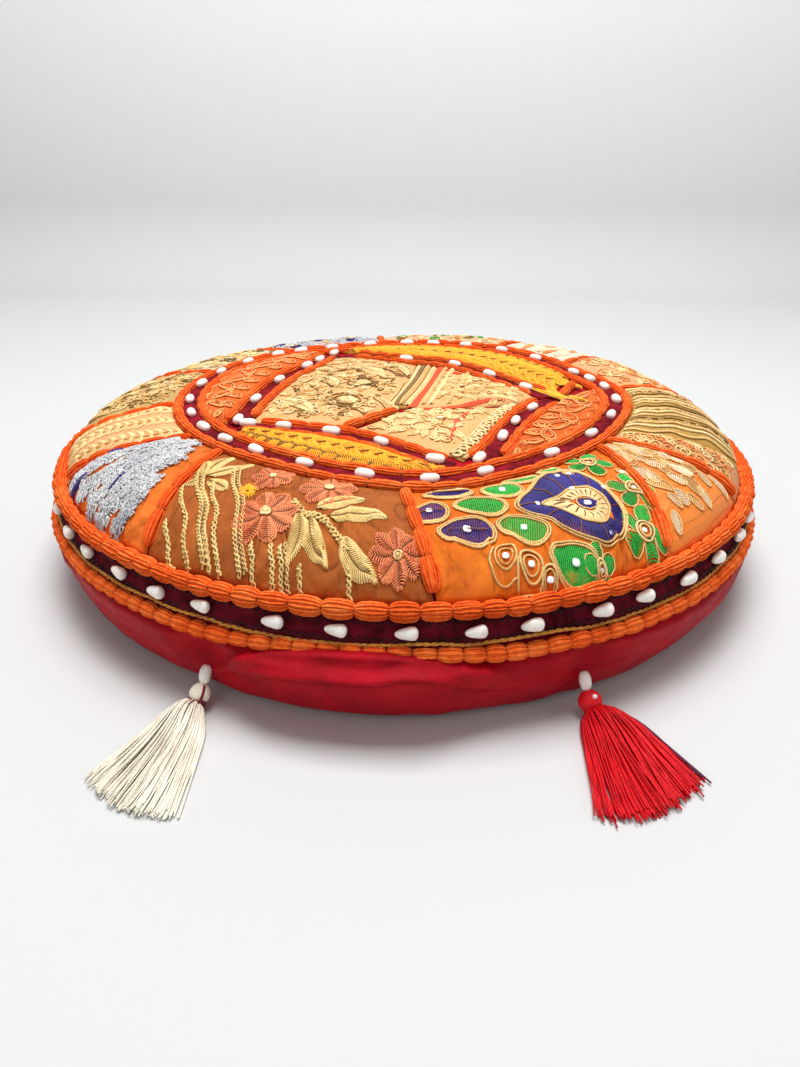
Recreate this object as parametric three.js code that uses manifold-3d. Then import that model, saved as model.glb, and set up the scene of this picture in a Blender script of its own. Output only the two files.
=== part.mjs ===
// Round patchwork floor cushion: a filled body, a crown of puffed patches, rows of couched
// wool yarn, velvet ribbons, a band round the edge and two tassels that lie on the floor.
// Millimetres, +Z up. The origin is the middle of the flat base, and -Y is the front.
import * as THREE from 'three';
import { mergeVertices } from 'three/addons/utils/BufferGeometryUtils.js';
import Module from 'manifold-3d';

const wasm = await Module();
wasm.setup();

// Driving dimensions
const GAP = 0.3;
const SHOULDER_GAP = 0.75;
const SEWING_GAP = 0.55;
const CROWN_HEIGHT = 86.4;
const BASE_RADIUS = 167;
const BODY_STEPS = 72;

// The filling's top, from the middle to the upper seam
const CROWN = [
  { radius: 0, height: CROWN_HEIGHT },
  { radius: 60, height: 86.0 },
  { radius: 110, height: 84.5 },
  { radius: 140, height: 82.3 },
  { radius: 158, height: 79.0 },
  { radius: 170, height: 75.1 },
  { radius: 180, height: 69.4 },
  { radius: 187, height: 63.0 },
  { radius: 190.6, height: 57.0 },
];

// The filling's edge under the band, from the upper seam to the lower one
const WALL = [
  { radius: 192.4, height: 52.4 },
  { radius: 196.2, height: 42.5 },
  { radius: 196.2, height: 38.8 },
  { radius: 197.2, height: 34.4 },
  { radius: 200.2, height: 32.4 },
];
const UNDERSIDE = { bulge: 31.5, exponent: 0.4, height: 38, angles: [24, 42, 60, 76, 90] };

// How far the shoulder of the crown stands above or below its even height, by direction
const SHOULDER = [
  { azimuth: 0, lift: 1.5 },
  { azimuth: 45, lift: 3.0 },
  { azimuth: 90, lift: 0.5 },
  { azimuth: 135, lift: -2.0 },
  { azimuth: 180, lift: -2.0 },
  { azimuth: 225, lift: 0 },
  { azimuth: 270, lift: 0.5 },
  { azimuth: 315, lift: 0 },
];
const SHOULDER_SPAN = { inner: 112, outer: 190.6 };

// Fold of loose cloth that hangs over the lower yarn row at the front, and the two places
// where a tassel's thread pulls the cloth in
const FRONT_FOLD = { azimuth: 264, halfWidth: 19, out: 6.5, up: 4.0, low: 12, high: 33 };
const TASSEL_DENT = { halfWidth: 7, depth: 4.0, height: 27, reach: 11 };

// Middle of the beaded ribbon ring, by direction
const RING = [
  { azimuth: 0, radius: 123.5 },
  { azimuth: 25, radius: 118 },
  { azimuth: 45, radius: 121 },
  { azimuth: 65, radius: 124 },
  { azimuth: 90, radius: 120 },
  { azimuth: 115, radius: 116 },
  { azimuth: 140, radius: 123 },
  { azimuth: 180, radius: 123.5 },
  { azimuth: 210, radius: 122.5 },
  { azimuth: 240, radius: 121.5 },
  { azimuth: 262, radius: 127.5 },
  { azimuth: 276, radius: 131 },
  { azimuth: 292, radius: 125 },
  { azimuth: 312, radius: 120 },
  { azimuth: 335, radius: 119 },
];

// Beaded ribbons of the middle square, from corner to corner. The ring is on their left.
const SIDES = {
  left: [[-88, -60], [-84, -22], [-75, 20], [-62, 52], [-46, 90]],
  back: [[-46, 90], [-4, 71], [25, 62], [46, 43], [65, 16], [87, -11]],
  right: [[87, -11], [69, -36], [56, -62], [44, -92], [31, -114]],
  front: [[31, -114], [11, -107], [-12, -88], [-36, -75], [-60, -67], [-88, -60]],
};

// Yarn rows between the outer patches: where each leaves the ring and where it meets the rim
const SPOKES = [
  { name: 'front', ring: 270, rim: 273.8 },
  { name: 'front_right', ring: 318.6, rim: 306.8 },
  { name: 'right_front', ring: 323.6, rim: 330.9 },
  { name: 'right', ring: 366, rim: 369.5 },
  { name: 'right_back', ring: 393, rim: 395 },
  { name: 'back_right', ring: 419, rim: 418 },
  { name: 'back', ring: 457, rim: 456 },
  { name: 'back_left', ring: 488, rim: 490 },
  { name: 'left_back', ring: 518, rim: 517 },
  { name: 'left', ring: 548.2, rim: 551.3 },
  { name: 'left_front', ring: 574.3, rim: 564.7 },
  { name: 'front_left', ring: 586.9, rim: 594.4 },
];
const SPOKE_END = 0.955;
const PLAIN_SEAM = { ring: 330.5, rim: 342.5 };

// Lens and crescent patches between the square and the ring: the stretch of the square's
// side that each follows, as shares of its length, and its stretch of the ring
const SEGMENTS = [
  { name: 'braid_front', colour: 0xe79a1c, side: 'front', along: [0.12, 0.96], arc: [278, 220] },
  { name: 'orange_right', colour: 0xe2702c, side: 'right', along: [0.05, 0.83], arc: [367, 296] },
  { name: 'braid_back', colour: 0xe79a1c, side: 'back', along: [0.06, 0.93], arc: [113, 21] },
  { name: 'orange_left', colour: 0xe06c2a, side: 'left', along: [0.04, 0.95], arc: [208, 122] },
];
const SEGMENT_STEPS = { across: 3, along: 9 };

// Patches inside the square. Each has four edges, and an edge is a stretch of a side's
// inner margin, moved further in by `inset`, or a line through plan points.
const CENTRE_PATCHES = [
  {
    name: 'centre_scroll_cream', colour: 0xdcb98a, across: 4, along: 6,
    left: { side: 'left', along: [0.06, 0.94] },
    right: { points: [[-38.5, -62.5], [-20.5, -48.5], [-10.5, -34], [0.3, 8], [8, 57]] },
    start: { side: 'front', along: [0.93, 0.64] },
    end: { side: 'back', along: [0.06, 0.34] },
  },
  {
    name: 'centre_olive_strip', colour: 0xb8912f, across: 2, along: 5,
    left: { points: [[-8.5, -32.5], [1.2, 8], [9, 56]] },
    right: { points: [[1.5, -31], [12, 6], [20.5, 51.5]] },
  },
  {
    name: 'centre_zari_right', colour: 0xe0c596, across: 3, along: 5,
    left: { points: [[4.5, -30.5], [13, 6], [22.5, 50.5]] },
    right: { points: [[63.5, -20.5], [69, -14], [72, -8]] },
    start: { points: [[4.5, -30.5], [36, -29], [63.5, -20.5]] },
    end: { side: 'back', along: [0.46, 0.93] },
  },
  {
    name: 'centre_zari_front', colour: 0xdcbc86, across: 4, along: 4,
    left: { side: 'front', along: [0.55, 0.14] },
    right: { points: [[1, -39], [30, -34], [52, -27.5]] },
    start: { points: [[-27, -69], [-13, -54], [1, -39]] },
    end: { side: 'right', inset: 9.3, along: [0.94, 0.27] },
  },
  {
    name: 'centre_border_strip', colour: 0xd3ae5c, across: 2, along: 7,
    left: { side: 'right', inset: 8.5, along: [0.26, 0.92] },
    right: { side: 'right', along: [0.21, 0.94] },
  },
];

// Stretch of each side, as shares of its length, that its ribbon and its two rows take up
const SIDE_ENDS = {
  left: { ribbon: [0.02, 0.97], outerRow: [0.05, 0.94], innerRow: [0.09, 0.9] },
  back: { ribbon: [0.04, 0.97], outerRow: [0.08, 0.93], innerRow: [0.1, 0.92] },
  right: { ribbon: [0.04, 0.92], outerRow: [0.07, 0.81], innerRow: [0.1, 0.91] },
  front: { ribbon: [0.06, 0.98], outerRow: [0.14, 0.95], innerRow: [0.1, 0.91] },
};
const CORNER_ROW = { from: [93, -3], to: [104, 22] };
const CENTRE_ROW = [[-31, -65], [-17, -51], [-4, -39]];

const RIBBON = { ring: 7, side: 6.4, thickness: 1.4, ringSteps: 60, sideSteps: 12 };
const ROW = { width: 5, height: 3.9, pitch: 15, waist: 0.66, uneven: 0.08 };
const STRIP_TOP = 0.6;
const RIM_ROW = {
  radius: 191.0, height: 57, width: 7.4, depth: 7.4, puffs: 104, waist: 0.66, uneven: 0.1, tuck: 0,
};
const LOWER_ROW = {
  radius: 196.9, height: 38.6, width: 6, depth: 5.6, puffs: 104, waist: 0.66, uneven: 0.1, tuck: 1.2,
};
const RIM_SECTION = [
  { out: 1, up: 0.55 },
  { out: -0.7, up: 0.75 },
  { out: -0.7, up: -0.75 },
  { out: 1, up: -0.55 },
];
const BAND = { top: 52.6, bottom: 42.2, thickness: 1.4 };
const GOLD_CORD = { height: 45.0, width: 2.4 };
const PATCH = {
  edge: 1.3, puff: 2.2, rimRadius: 188.9, stepAcross: 17, leastAcross: 3,
  alongSteps: [0, 0.3, 0.56, 0.78, 0.92, 1],
};

// Tassels: direction, and how far the ends of the skirt fan out to each side of it
const TASSELS = [
  {
    name: 'white', azimuth: 244.6, cord: 0xe8dfcf, bead: 0xf2ead8, head: 4.3, strands: 30,
    fan: { from: 228, to: 276, long: 60, short: 52 },
  },
  {
    name: 'red', azimuth: 293.3, cord: 0xc8102a, bead: 0xf0e4cf, head: 5.0, strands: 30,
    fan: { from: 253, to: 315, long: 59, short: 49 },
  },
];
const TASSEL = {
  beadRadius: 2.7, beadLength: 8.2, beadOut: 198.5, beadHeight: 14.9, beadSides: 8,
  headOut: 202.4, headHeight: 6.8, headSides: 10, neckOut: 206.4, neckHeight: 4.0, neckRadius: 3.0,
  rootLength: 7, rootRadius: 3.6, rootHeight: 3.7,
};
// Strands lie in layers. Each starts inside the neck and reaches the floor at `lying`.
const STRAND = {
  layers: 3, layerRise: 1.75, layerSpread: 1.8, layerTrim: 0.06, lying: 0.4, floor: 0.05,
  thickness: 0.9, wave: 2.2, waveShare: 9.4, waveLayer: 2.1,
  sections: [{ along: 0.06, width: 0.5 }, { along: 0.4, width: 0.9 }, { along: 1, width: 1.7 }],
};

// Shapes turned about a tassel's line, as shares of their length and greatest radius
const BEAD_PROFILE = [
  { along: 0, radius: 0.35 },
  { along: 0.2, radius: 0.82 },
  { along: 0.5, radius: 1 },
  { along: 0.8, radius: 0.82 },
  { along: 1, radius: 0.35 },
];
const HEAD_PROFILE = [
  { along: 0, radius: 0.4 },
  { along: 0.22, radius: 0.86 },
  { along: 0.5, radius: 1 },
  { along: 0.8, radius: 0.8 },
];

const COLOURS = {
  redCloth: 0xb3102a, velvet: 0x6d1020, yarn: 0xe8601f, gold: 0xc8902e,
};

// Outer patches, counter-clockwise from the front spoke, one colour of cloth each
const OUTER_PATCHES = [
  { name: 'patch_paisley_orange', colour: 0xe07a22 },
  { name: 'patch_blotch_orange', colour: 0xe59a52 },
  { name: 'patch_scroll_peach', colour: 0xd9a273 },
  { name: 'patch_striped_olive', colour: 0xbd9a44 },
  { name: 'patch_peach_cream', colour: 0xe9b98b },
  { name: 'patch_cream_right', colour: 0xe6cfb0 },
  { name: 'patch_green_cream', colour: 0xdccfa8 },
  { name: 'patch_grey_navy', colour: 0xc9ccd2 },
  { name: 'patch_pale_olive', colour: 0xd2c79c },
  { name: 'patch_gold_olive', colour: 0xbfa765 },
  { name: 'patch_wheat_peach', colour: 0xe8b284 },
  { name: 'patch_silver_scroll', colour: 0xc5b2ad },
  { name: 'patch_floral_rust', colour: 0xab5b20 },
];

const cushion = new THREE.Group();
cushion.name = 'round_cushion';

const radians = THREE.MathUtils.degToRad;
const mix = THREE.MathUtils.lerp;
const polar = (azimuth, radius) => [
  radius * Math.cos(radians(azimuth)), radius * Math.sin(radians(azimuth)),
];

// Smooth value of one column of a table over another column
function follow(table, from, to, at) {
  const last = table.length - 1;
  let i = 0;
  while (i < last - 1 && at > table[i + 1][from]) i += 1;
  const slope = (k) => {
    const a = table[Math.max(k - 1, 0)];
    const b = table[Math.min(k + 1, last)];
    return (b[to] - a[to]) / (b[from] - a[from]);
  };
  const [start, end] = [table[i], table[i + 1]];
  const span = end[from] - start[from];
  const t = (at - start[from]) / span;
  const bend = t * t * (3 - 2 * t);
  const rise = span * slope(i) * t * (1 - t) * (1 - t);
  const fall = span * slope(i + 1) * t * t * (t - 1);
  return mix(start[to], end[to], bend) + rise + fall;
}

// The same over a table of directions that closes on itself
function followRound(table, to, azimuth) {
  const turn = 360;
  const wrapped = [
    { ...table[table.length - 1], azimuth: table[table.length - 1].azimuth - turn },
    ...table,
    { ...table[0], azimuth: turn },
    { ...table[1], azimuth: table[1].azimuth + turn },
  ];
  return follow(wrapped, 'azimuth', to, ((azimuth % turn) + turn) % turn);
}

const ringRadius = (azimuth) => followRound(RING, 'radius', azimuth);

function crownHeight(x, y) {
  const radius = Math.hypot(x, y);
  const azimuth = THREE.MathUtils.radToDeg(Math.atan2(y, x));
  const { inner, outer } = SHOULDER_SPAN;
  const across = THREE.MathUtils.clamp((radius - inner) / (outer - inner), 0, 1);
  const lift = followRound(SHOULDER, 'lift', azimuth) * Math.sin(Math.PI * across) ** 2;
  return follow(CROWN, 'radius', 'height', radius) + lift;
}

function crownNormal(x, y) {
  const step = 0.5;
  const slopeX = (crownHeight(x + step, y) - crownHeight(x - step, y)) / (2 * step);
  const slopeY = (crownHeight(x, y + step) - crownHeight(x, y - step)) / (2 * step);
  return new THREE.Vector3(-slopeX, -slopeY, 1).normalize();
}

// Point at a height above the crown, measured square to it
function aboveCrown([x, y], lift) {
  return new THREE.Vector3(x, y, crownHeight(x, y)).addScaledVector(crownNormal(x, y), lift);
}

// Clearance under a piece that lies on the crown: flat steps need more where it curves
function bed([x, y]) {
  const { inner, outer } = SHOULDER_SPAN;
  const across = THREE.MathUtils.smoothstep(Math.hypot(x, y), inner, (inner + outer) / 2);
  return mix(GAP, SHOULDER_GAP, across);
}

function addPiece(name, geometry, colour, roughness = 0.9) {
  const material = new THREE.MeshStandardMaterial({ color: colour, roughness, metalness: 0 });
  const mesh = new THREE.Mesh(geometry, material);
  mesh.name = name;
  cushion.add(mesh);
  return mesh;
}

function closedGeometry(points, faces) {
  const geometry = new THREE.BufferGeometry();
  const values = points.flatMap((p) => [p.x, p.y, p.z]);
  geometry.setAttribute('position', new THREE.Float32BufferAttribute(values, 3));
  const volume = faces.reduce(
    (sum, [a, b, c]) => sum + points[a].dot(points[b].clone().cross(points[c])), 0,
  );
  const outward = volume < 0 ? faces.map(([a, b, c]) => [a, c, b]) : faces;
  geometry.setIndex(outward.flat());
  return geometry;
}

// Solid through a stack of like sections, closed in a ring or with a fan on each end
function stackSolid(sections, ring) {
  const sides = sections[0].length;
  const points = sections.flat();
  const faces = [];
  const last = ring ? sections.length : sections.length - 1;
  for (let i = 0; i < last; i += 1) {
    const here = i * sides;
    const next = ((i + 1) % sections.length) * sides;
    for (let j = 0; j < sides; j += 1) {
      const k = (j + 1) % sides;
      faces.push([here + j, next + j, next + k], [here + j, next + k, here + k]);
    }
  }
  if (!ring) {
    const end = (sections.length - 1) * sides;
    for (let j = 1; j < sides - 1; j += 1) {
      faces.push([0, j, j + 1], [end, end + j + 1, end + j]);
    }
  }
  return closedGeometry(points, faces);
}

// Sheet between two surfaces given on one grid
function sheetSolid(lower, upper) {
  const rows = lower.length;
  const columns = lower[0].length;
  const points = [...lower.flat(), ...upper.flat()];
  const at = (i, j) => i * columns + j;
  const top = rows * columns;
  const faces = [];
  for (let i = 0; i < rows - 1; i += 1) {
    for (let j = 0; j < columns - 1; j += 1) {
      const [a, b, c, d] = [at(i, j), at(i, j + 1), at(i + 1, j + 1), at(i + 1, j)];
      faces.push([a, c, b], [a, d, c], [top + a, top + b, top + c], [top + a, top + c, top + d]);
    }
  }
  const edge = [];
  for (let j = 0; j < columns - 1; j += 1) edge.push(at(0, j));
  for (let i = 0; i < rows - 1; i += 1) edge.push(at(i, columns - 1));
  for (let j = columns - 1; j > 0; j -= 1) edge.push(at(rows - 1, j));
  for (let i = rows - 1; i > 0; i -= 1) edge.push(at(i, 0));
  edge.forEach((a, k) => {
    const b = edge[(k + 1) % edge.length];
    faces.push([a, b, top + b], [a, top + b, top + a]);
  });
  return closedGeometry(points, faces);
}

const steps = (count, from = 0, to = 1) => (
  Array.from({ length: count + 1 }, (_, i) => mix(from, to, i / count))
);

// Filled body
function angleBetween(a, b) {
  const turn = 360;
  return Math.abs(((a - b) % turn + turn * 1.5) % turn - turn / 2);
}

const hump = (distance, reach) => (
  distance >= reach ? 0 : Math.cos((Math.PI / 2) * (distance / reach)) ** 2
);

// Where a point of the body's lower part lies once the cloth is folded or pulled in
function foldedPoint(azimuth, radius, height) {
  const fold = FRONT_FOLD;
  const middle = (fold.low + fold.high) / 2;
  const across = hump(angleBetween(azimuth, fold.azimuth), fold.halfWidth);
  const share = height > fold.high ? 0 : Math.min(1, (height - fold.low) / (middle - fold.low));
  const out = across * Math.max(0, share);
  const dents = TASSELS.map((tassel) => (
    hump(angleBetween(azimuth, tassel.azimuth), TASSEL_DENT.halfWidth)
    * hump(Math.abs(height - TASSEL_DENT.height), TASSEL_DENT.reach)
  ));
  const pulledIn = TASSEL_DENT.depth * Math.max(...dents);
  const [x, y] = polar(azimuth, radius + fold.out * out - pulledIn);
  return new THREE.Vector3(x, y, height + fold.up * out * share);
}

function buildBody() {
  const directions = steps(BODY_STEPS, 0, 360).slice(0, -1);
  const rings = CROWN.slice(1).map(({ radius }) => directions.map((azimuth) => {
    const [x, y] = polar(azimuth, radius);
    return new THREE.Vector3(x, y, crownHeight(x, y));
  }));
  WALL.forEach(({ radius, height }) => {
    rings.push(directions.map((azimuth) => foldedPoint(azimuth, radius, height)));
  });
  UNDERSIDE.angles.forEach((angle) => {
    const out = Math.max(0, Math.cos(radians(angle))) ** UNDERSIDE.exponent;
    const radius = angle === 90 ? BASE_RADIUS : BASE_RADIUS + UNDERSIDE.bulge * out;
    const height = angle === 90 ? 0 : UNDERSIDE.height * (1 - Math.sin(radians(angle)));
    rings.push(directions.map((azimuth) => foldedPoint(azimuth, radius, height)));
  });
  const points = rings.flat();
  const faces = [];
  for (let i = 0; i < rings.length - 1; i += 1) {
    for (let j = 0; j < BODY_STEPS; j += 1) {
      const k = (j + 1) % BODY_STEPS;
      const [a, b] = [i * BODY_STEPS + j, i * BODY_STEPS + k];
      faces.push([a, a + BODY_STEPS, b], [b, a + BODY_STEPS, b + BODY_STEPS]);
    }
  }
  const top = points.push(new THREE.Vector3(0, 0, CROWN_HEIGHT)) - 1;
  const base = points.push(new THREE.Vector3(0, 0, 0)) - 1;
  const lastRing = (rings.length - 1) * BODY_STEPS;
  for (let j = 0; j < BODY_STEPS; j += 1) {
    const k = (j + 1) % BODY_STEPS;
    faces.push([top, j, k], [base, lastRing + k, lastRing + j]);
  }
  addPiece('cushion_body', closedGeometry(points, faces), COLOURS.redCloth, 0.55);
}

// Puffed patch between four edges, each a function from 0 to 1 that gives a plan point
function addPatch(name, colour, { left, right, start, end }, across, alongAt) {
  const acrossAt = steps(across);
  const plan = (u, v) => [0, 1].map((axis) => {
    const rails = mix(left(v)[axis], right(v)[axis], u) + mix(start(u)[axis], end(u)[axis], v);
    const corners = mix(
      mix(left(0)[axis], right(0)[axis], u), mix(left(1)[axis], right(1)[axis], u), v,
    );
    return rails - corners;
  });
  const full = (t) => 1 - (2 * t - 1) ** 4;
  const layer = (thickness) => alongAt.map((v) => acrossAt.map((u) => {
    const point = plan(u, v);
    return aboveCrown(point, bed(point) + thickness(u, v));
  }));
  const lower = layer(() => 0);
  const upper = layer((u, v) => PATCH.edge + PATCH.puff * full(u) * full(v));
  addPiece(name, sheetSolid(lower, upper), colour);
}

const lineFrom = (a, b) => (t) => [mix(a[0], b[0], t), mix(a[1], b[1], t)];

const RING_ROW_OFFSET = RIBBON.ring / 2 + SEWING_GAP + ROW.width / 2;
const RING_MARGIN = RING_ROW_OFFSET + ROW.width / 2 + SEWING_GAP;
const SIDE_ROW_OFFSET = RIBBON.side / 2 + SEWING_GAP + ROW.width / 2;
const SIDE_MARGIN = SIDE_ROW_OFFSET + ROW.width / 2 + SEWING_GAP;
const SPOKE_MARGIN = ROW.width / 2 + SEWING_GAP;

// Azimuth of the seam between two outer patches, at a share of the way out to the rim
const seamAzimuth = (seam, share) => mix(seam.ring, seam.rim, share);

const seamRadius = (seam, share) => (
  mix(ringRadius(seam.ring) + RING_MARGIN + SEWING_GAP, PATCH.rimRadius, share)
);

function addOuterPatches() {
  const turn = 360;
  const seams = [
    ...SPOKES.slice(0, 3).map((seam) => ({ ...seam, margin: SPOKE_MARGIN })),
    { ...PLAIN_SEAM, margin: GAP / 2 },
    ...SPOKES.slice(3).map((seam) => ({ ...seam, margin: SPOKE_MARGIN })),
  ];
  seams.push({ ...seams[0], ring: seams[0].ring + turn, rim: seams[0].rim + turn });
  // Edge of a patch beside its seam, moved off it by the margin square to its slant
  const rail = (seam, sign) => (v) => {
    const radius = seamRadius(seam, v);
    const across = radians(seam.rim - seam.ring) * radius;
    const slant = Math.atan2(across, PATCH.rimRadius - seamRadius(seam, 0));
    const aside = seam.margin / Math.cos(slant) / radius;
    return [seamAzimuth(seam, v) + sign * THREE.MathUtils.radToDeg(aside), radius];
  };
  OUTER_PATCHES.forEach(({ name, colour }, i) => {
    const [left, right] = [rail(seams[i], 1), rail(seams[i + 1], -1)];
    const [inLeft, inRight, outLeft, outRight] = [left(0), right(0), left(1), right(1)];
    const trims = [inLeft, inRight].map(([azimuth, radius]) => radius - ringRadius(azimuth));
    const start = (u) => {
      const azimuth = mix(inLeft[0], inRight[0], u);
      return polar(azimuth, ringRadius(azimuth) + mix(...trims, u));
    };
    const width = radians(outRight[0] - outLeft[0]) * PATCH.rimRadius;
    const across = Math.max(PATCH.leastAcross, Math.round(width / PATCH.stepAcross));
    addPatch(name, colour, {
      left: (v) => polar(...left(v)),
      right: (v) => polar(...right(v)),
      start,
      end: (u) => polar(mix(outLeft[0], outRight[0], u), PATCH.rimRadius),
    }, across, PATCH.alongSteps);
  });
}

function curveOf(points) {
  return new THREE.SplineCurve(points.map(([x, y]) => new THREE.Vector2(x, y)));
}

// Line beside a curve of plan points, moved to its left (+) or right (-)
function beside(curve, offset, from = 0, to = 1) {
  return (t) => {
    const at = mix(from, to, t);
    const point = curve.getPointAt(at);
    const tangent = curve.getTangentAt(at);
    return [point.x - tangent.y * offset, point.y + tangent.x * offset];
  };
}

const arcAt = (offset, from, to) => (t) => {
  const azimuth = mix(from, to, t);
  return polar(azimuth, ringRadius(azimuth) + offset);
};

function addSegments() {
  SEGMENTS.forEach(({ name, colour, side, along, arc }) => {
    const inner = beside(curveOf(SIDES[side]), SIDE_MARGIN, ...along);
    const outer = arcAt(-RING_MARGIN, ...arc);
    addPatch(`segment_${name}`, colour, {
      left: outer,
      right: inner,
      start: lineFrom(outer(0), inner(0)),
      end: lineFrom(outer(1), inner(1)),
    }, SEGMENT_STEPS.across, steps(SEGMENT_STEPS.along));
  });
}

function edgeLine(edge) {
  if (edge.points) {
    const curve = curveOf(edge.points);
    return (t) => curve.getPointAt(t).toArray();
  }
  return beside(curveOf(SIDES[edge.side]), -SIDE_MARGIN - (edge.inset ?? 0), ...edge.along);
}

function addCentre() {
  CENTRE_PATCHES.forEach(({ name, colour, across, along, ...edges }) => {
    const [left, right] = [edgeLine(edges.left), edgeLine(edges.right)];
    const start = edges.start ? edgeLine(edges.start) : lineFrom(left(0), right(0));
    const end = edges.end ? edgeLine(edges.end) : lineFrom(left(1), right(1));
    addPatch(name, colour, { left, right, start, end }, across, steps(along));
  });
}

// Flat strip or puffed yarn row along a plan line. Each section is a trapezoid on the crown.
function stripSections(line, count, ring, widthAt, heightAt) {
  const total = ring ? count : count + 1;
  return Array.from({ length: total }, (_, i) => {
    const t = i / count;
    const nudge = 1e-3;
    const before = line(ring ? (t - nudge + 1) % 1 : Math.max(0, t - nudge));
    const after = line(ring ? (t + nudge) % 1 : Math.min(1, t + nudge));
    const [dx, dy] = [after[0] - before[0], after[1] - before[1]];
    const length = Math.hypot(dx, dy);
    const side = [-dy / length, dx / length];
    const [x, y] = line(t);
    const [half, height] = [widthAt(i) / 2, heightAt(i)];
    const at = (aside, lift) => {
      const point = [x + side[0] * aside, y + side[1] * aside];
      return aboveCrown(point, bed(point) + lift);
    };
    const top = half * STRIP_TOP;
    return [at(-half, 0), at(half, 0), at(top, height), at(-top, height)];
  });
}

function lineLength(line) {
  const samples = steps(60).map((t) => new THREE.Vector2(...line(t)));
  return samples.slice(1).reduce((sum, point, i) => sum + point.distanceTo(samples[i]), 0);
}

// Share of a yarn row's full size at a section: drawn in at each tie, full between two ties
const puffShare = (row, i) => (i % 2 === 0 ? row.waist : 1 - row.uneven * Math.sin(2 * i) ** 2);

function addRow(name, line, ring = false) {
  const puffs = Math.max(2, Math.round(lineLength(line) / ROW.pitch));
  const sections = stripSections(
    line, puffs * 2, ring, (i) => ROW.width * puffShare(ROW, i), (i) => ROW.height * puffShare(ROW, i),
  );
  addPiece(name, stackSolid(sections, ring), COLOURS.yarn, 0.95);
}

function addRibbon(name, line, width, count, ring = false) {
  const sections = stripSections(line, count, ring, () => width, () => RIBBON.thickness);
  addPiece(name, stackSolid(sections, ring), COLOURS.velvet);
}

function addRingAndSquare() {
  const around = (offset) => arcAt(offset, 0, 360);
  addRibbon('ring_ribbon', around(0), RIBBON.ring, RIBBON.ringSteps, true);
  addRow('ring_row_outer', around(RING_ROW_OFFSET), true);
  addRow('ring_row_inner', around(-RING_ROW_OFFSET), true);
  Object.entries(SIDES).forEach(([side, points]) => {
    const curve = curveOf(points);
    const { ribbon, outerRow, innerRow } = SIDE_ENDS[side];
    addRibbon(`${side}_ribbon`, beside(curve, 0, ...ribbon), RIBBON.side, RIBBON.sideSteps);
    addRow(`${side}_row_outer`, beside(curve, SIDE_ROW_OFFSET, ...outerRow));
    addRow(`${side}_row_inner`, beside(curve, -SIDE_ROW_OFFSET, ...innerRow));
  });
  addRow('corner_row', lineFrom(CORNER_ROW.from, CORNER_ROW.to));
  addRow('centre_row', edgeLine({ points: CENTRE_ROW }));
}

function addSpokes() {
  SPOKES.forEach((spoke) => {
    const line = (t) => polar(seamAzimuth(spoke, t * SPOKE_END), seamRadius(spoke, t * SPOKE_END));
    addRow(`spoke_row_${spoke.name}`, line);
  });
}

// Ring around the body's edge through a section of points given as out and up
function edgeRing(count, sectionAt) {
  return stackSolid(Array.from({ length: count }, (_, i) => {
    const azimuth = (i / count) * 360;
    return sectionAt(i, azimuth).map(([radius, height]) => {
      const [x, y] = polar(azimuth, radius);
      return new THREE.Vector3(x, y, height);
    });
  }), true);
}

function addRimRow(name, row) {
  const geometry = edgeRing(row.puffs * 2, (i, azimuth) => {
    const fromFold = angleBetween(azimuth, FRONT_FOLD.azimuth);
    const tuck = row.tuck * hump(fromFold, FRONT_FOLD.halfWidth);
    const out = (row.depth / 2) * puffShare(row, i);
    const up = (row.width / 2) * puffShare(row, i);
    const middle = row.radius - tuck + out;
    return RIM_SECTION.map((corner) => [
      middle + out * corner.out, row.height + tuck + up * corner.up,
    ]);
  });
  addPiece(name, geometry, COLOURS.yarn, 0.95);
}

function addBand() {
  const edge = [CROWN[CROWN.length - 1], ...WALL].sort((a, b) => a.height - b.height);
  const wall = (height) => follow(edge, 'height', 'radius', height) + GAP;
  const { top, bottom, thickness } = BAND;
  const band = edgeRing(BODY_STEPS, () => [
    [wall(bottom), bottom], [wall(bottom) + thickness, bottom],
    [wall(top) + thickness, top], [wall(top), top],
  ]);
  addPiece('velvet_band', band, COLOURS.velvet);
  const { height, width } = GOLD_CORD;
  const out = wall(height) + thickness + SEWING_GAP;
  const cord = edgeRing(BODY_STEPS, () => [
    [out, height - width / 2], [out + width, height], [out, height + width / 2],
  ]);
  addPiece('gold_cord', cord, COLOURS.gold, 0.7);
  addRimRow('rim_row_upper', RIM_ROW);
  addRimRow('rim_row_lower', LOWER_ROW);
}

// Closed solid of rings of points round a straight line from one end to the other
function roundPiece(from, to, profile, sides) {
  const axis = to.clone().sub(from).normalize();
  const up = new THREE.Vector3(0, 0, 1);
  const aside = new THREE.Vector3().crossVectors(axis, up).normalize();
  const over = new THREE.Vector3().crossVectors(aside, axis);
  const sections = profile.map(({ along, radius }) => Array.from({ length: sides }, (_, k) => {
    const angle = (2 * Math.PI * k) / sides;
    return from.clone().lerp(to, along)
      .addScaledVector(aside, radius * Math.cos(angle))
      .addScaledVector(over, radius * Math.sin(angle));
  }));
  return stackSolid(sections, false);
}

const scaled = (profile, size) => (
  profile.map(({ along, radius }) => ({ along, radius: radius * size }))
);

function at(azimuth, radius, height) {
  const [x, y] = polar(azimuth, radius);
  return new THREE.Vector3(x, y, height);
}

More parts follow.
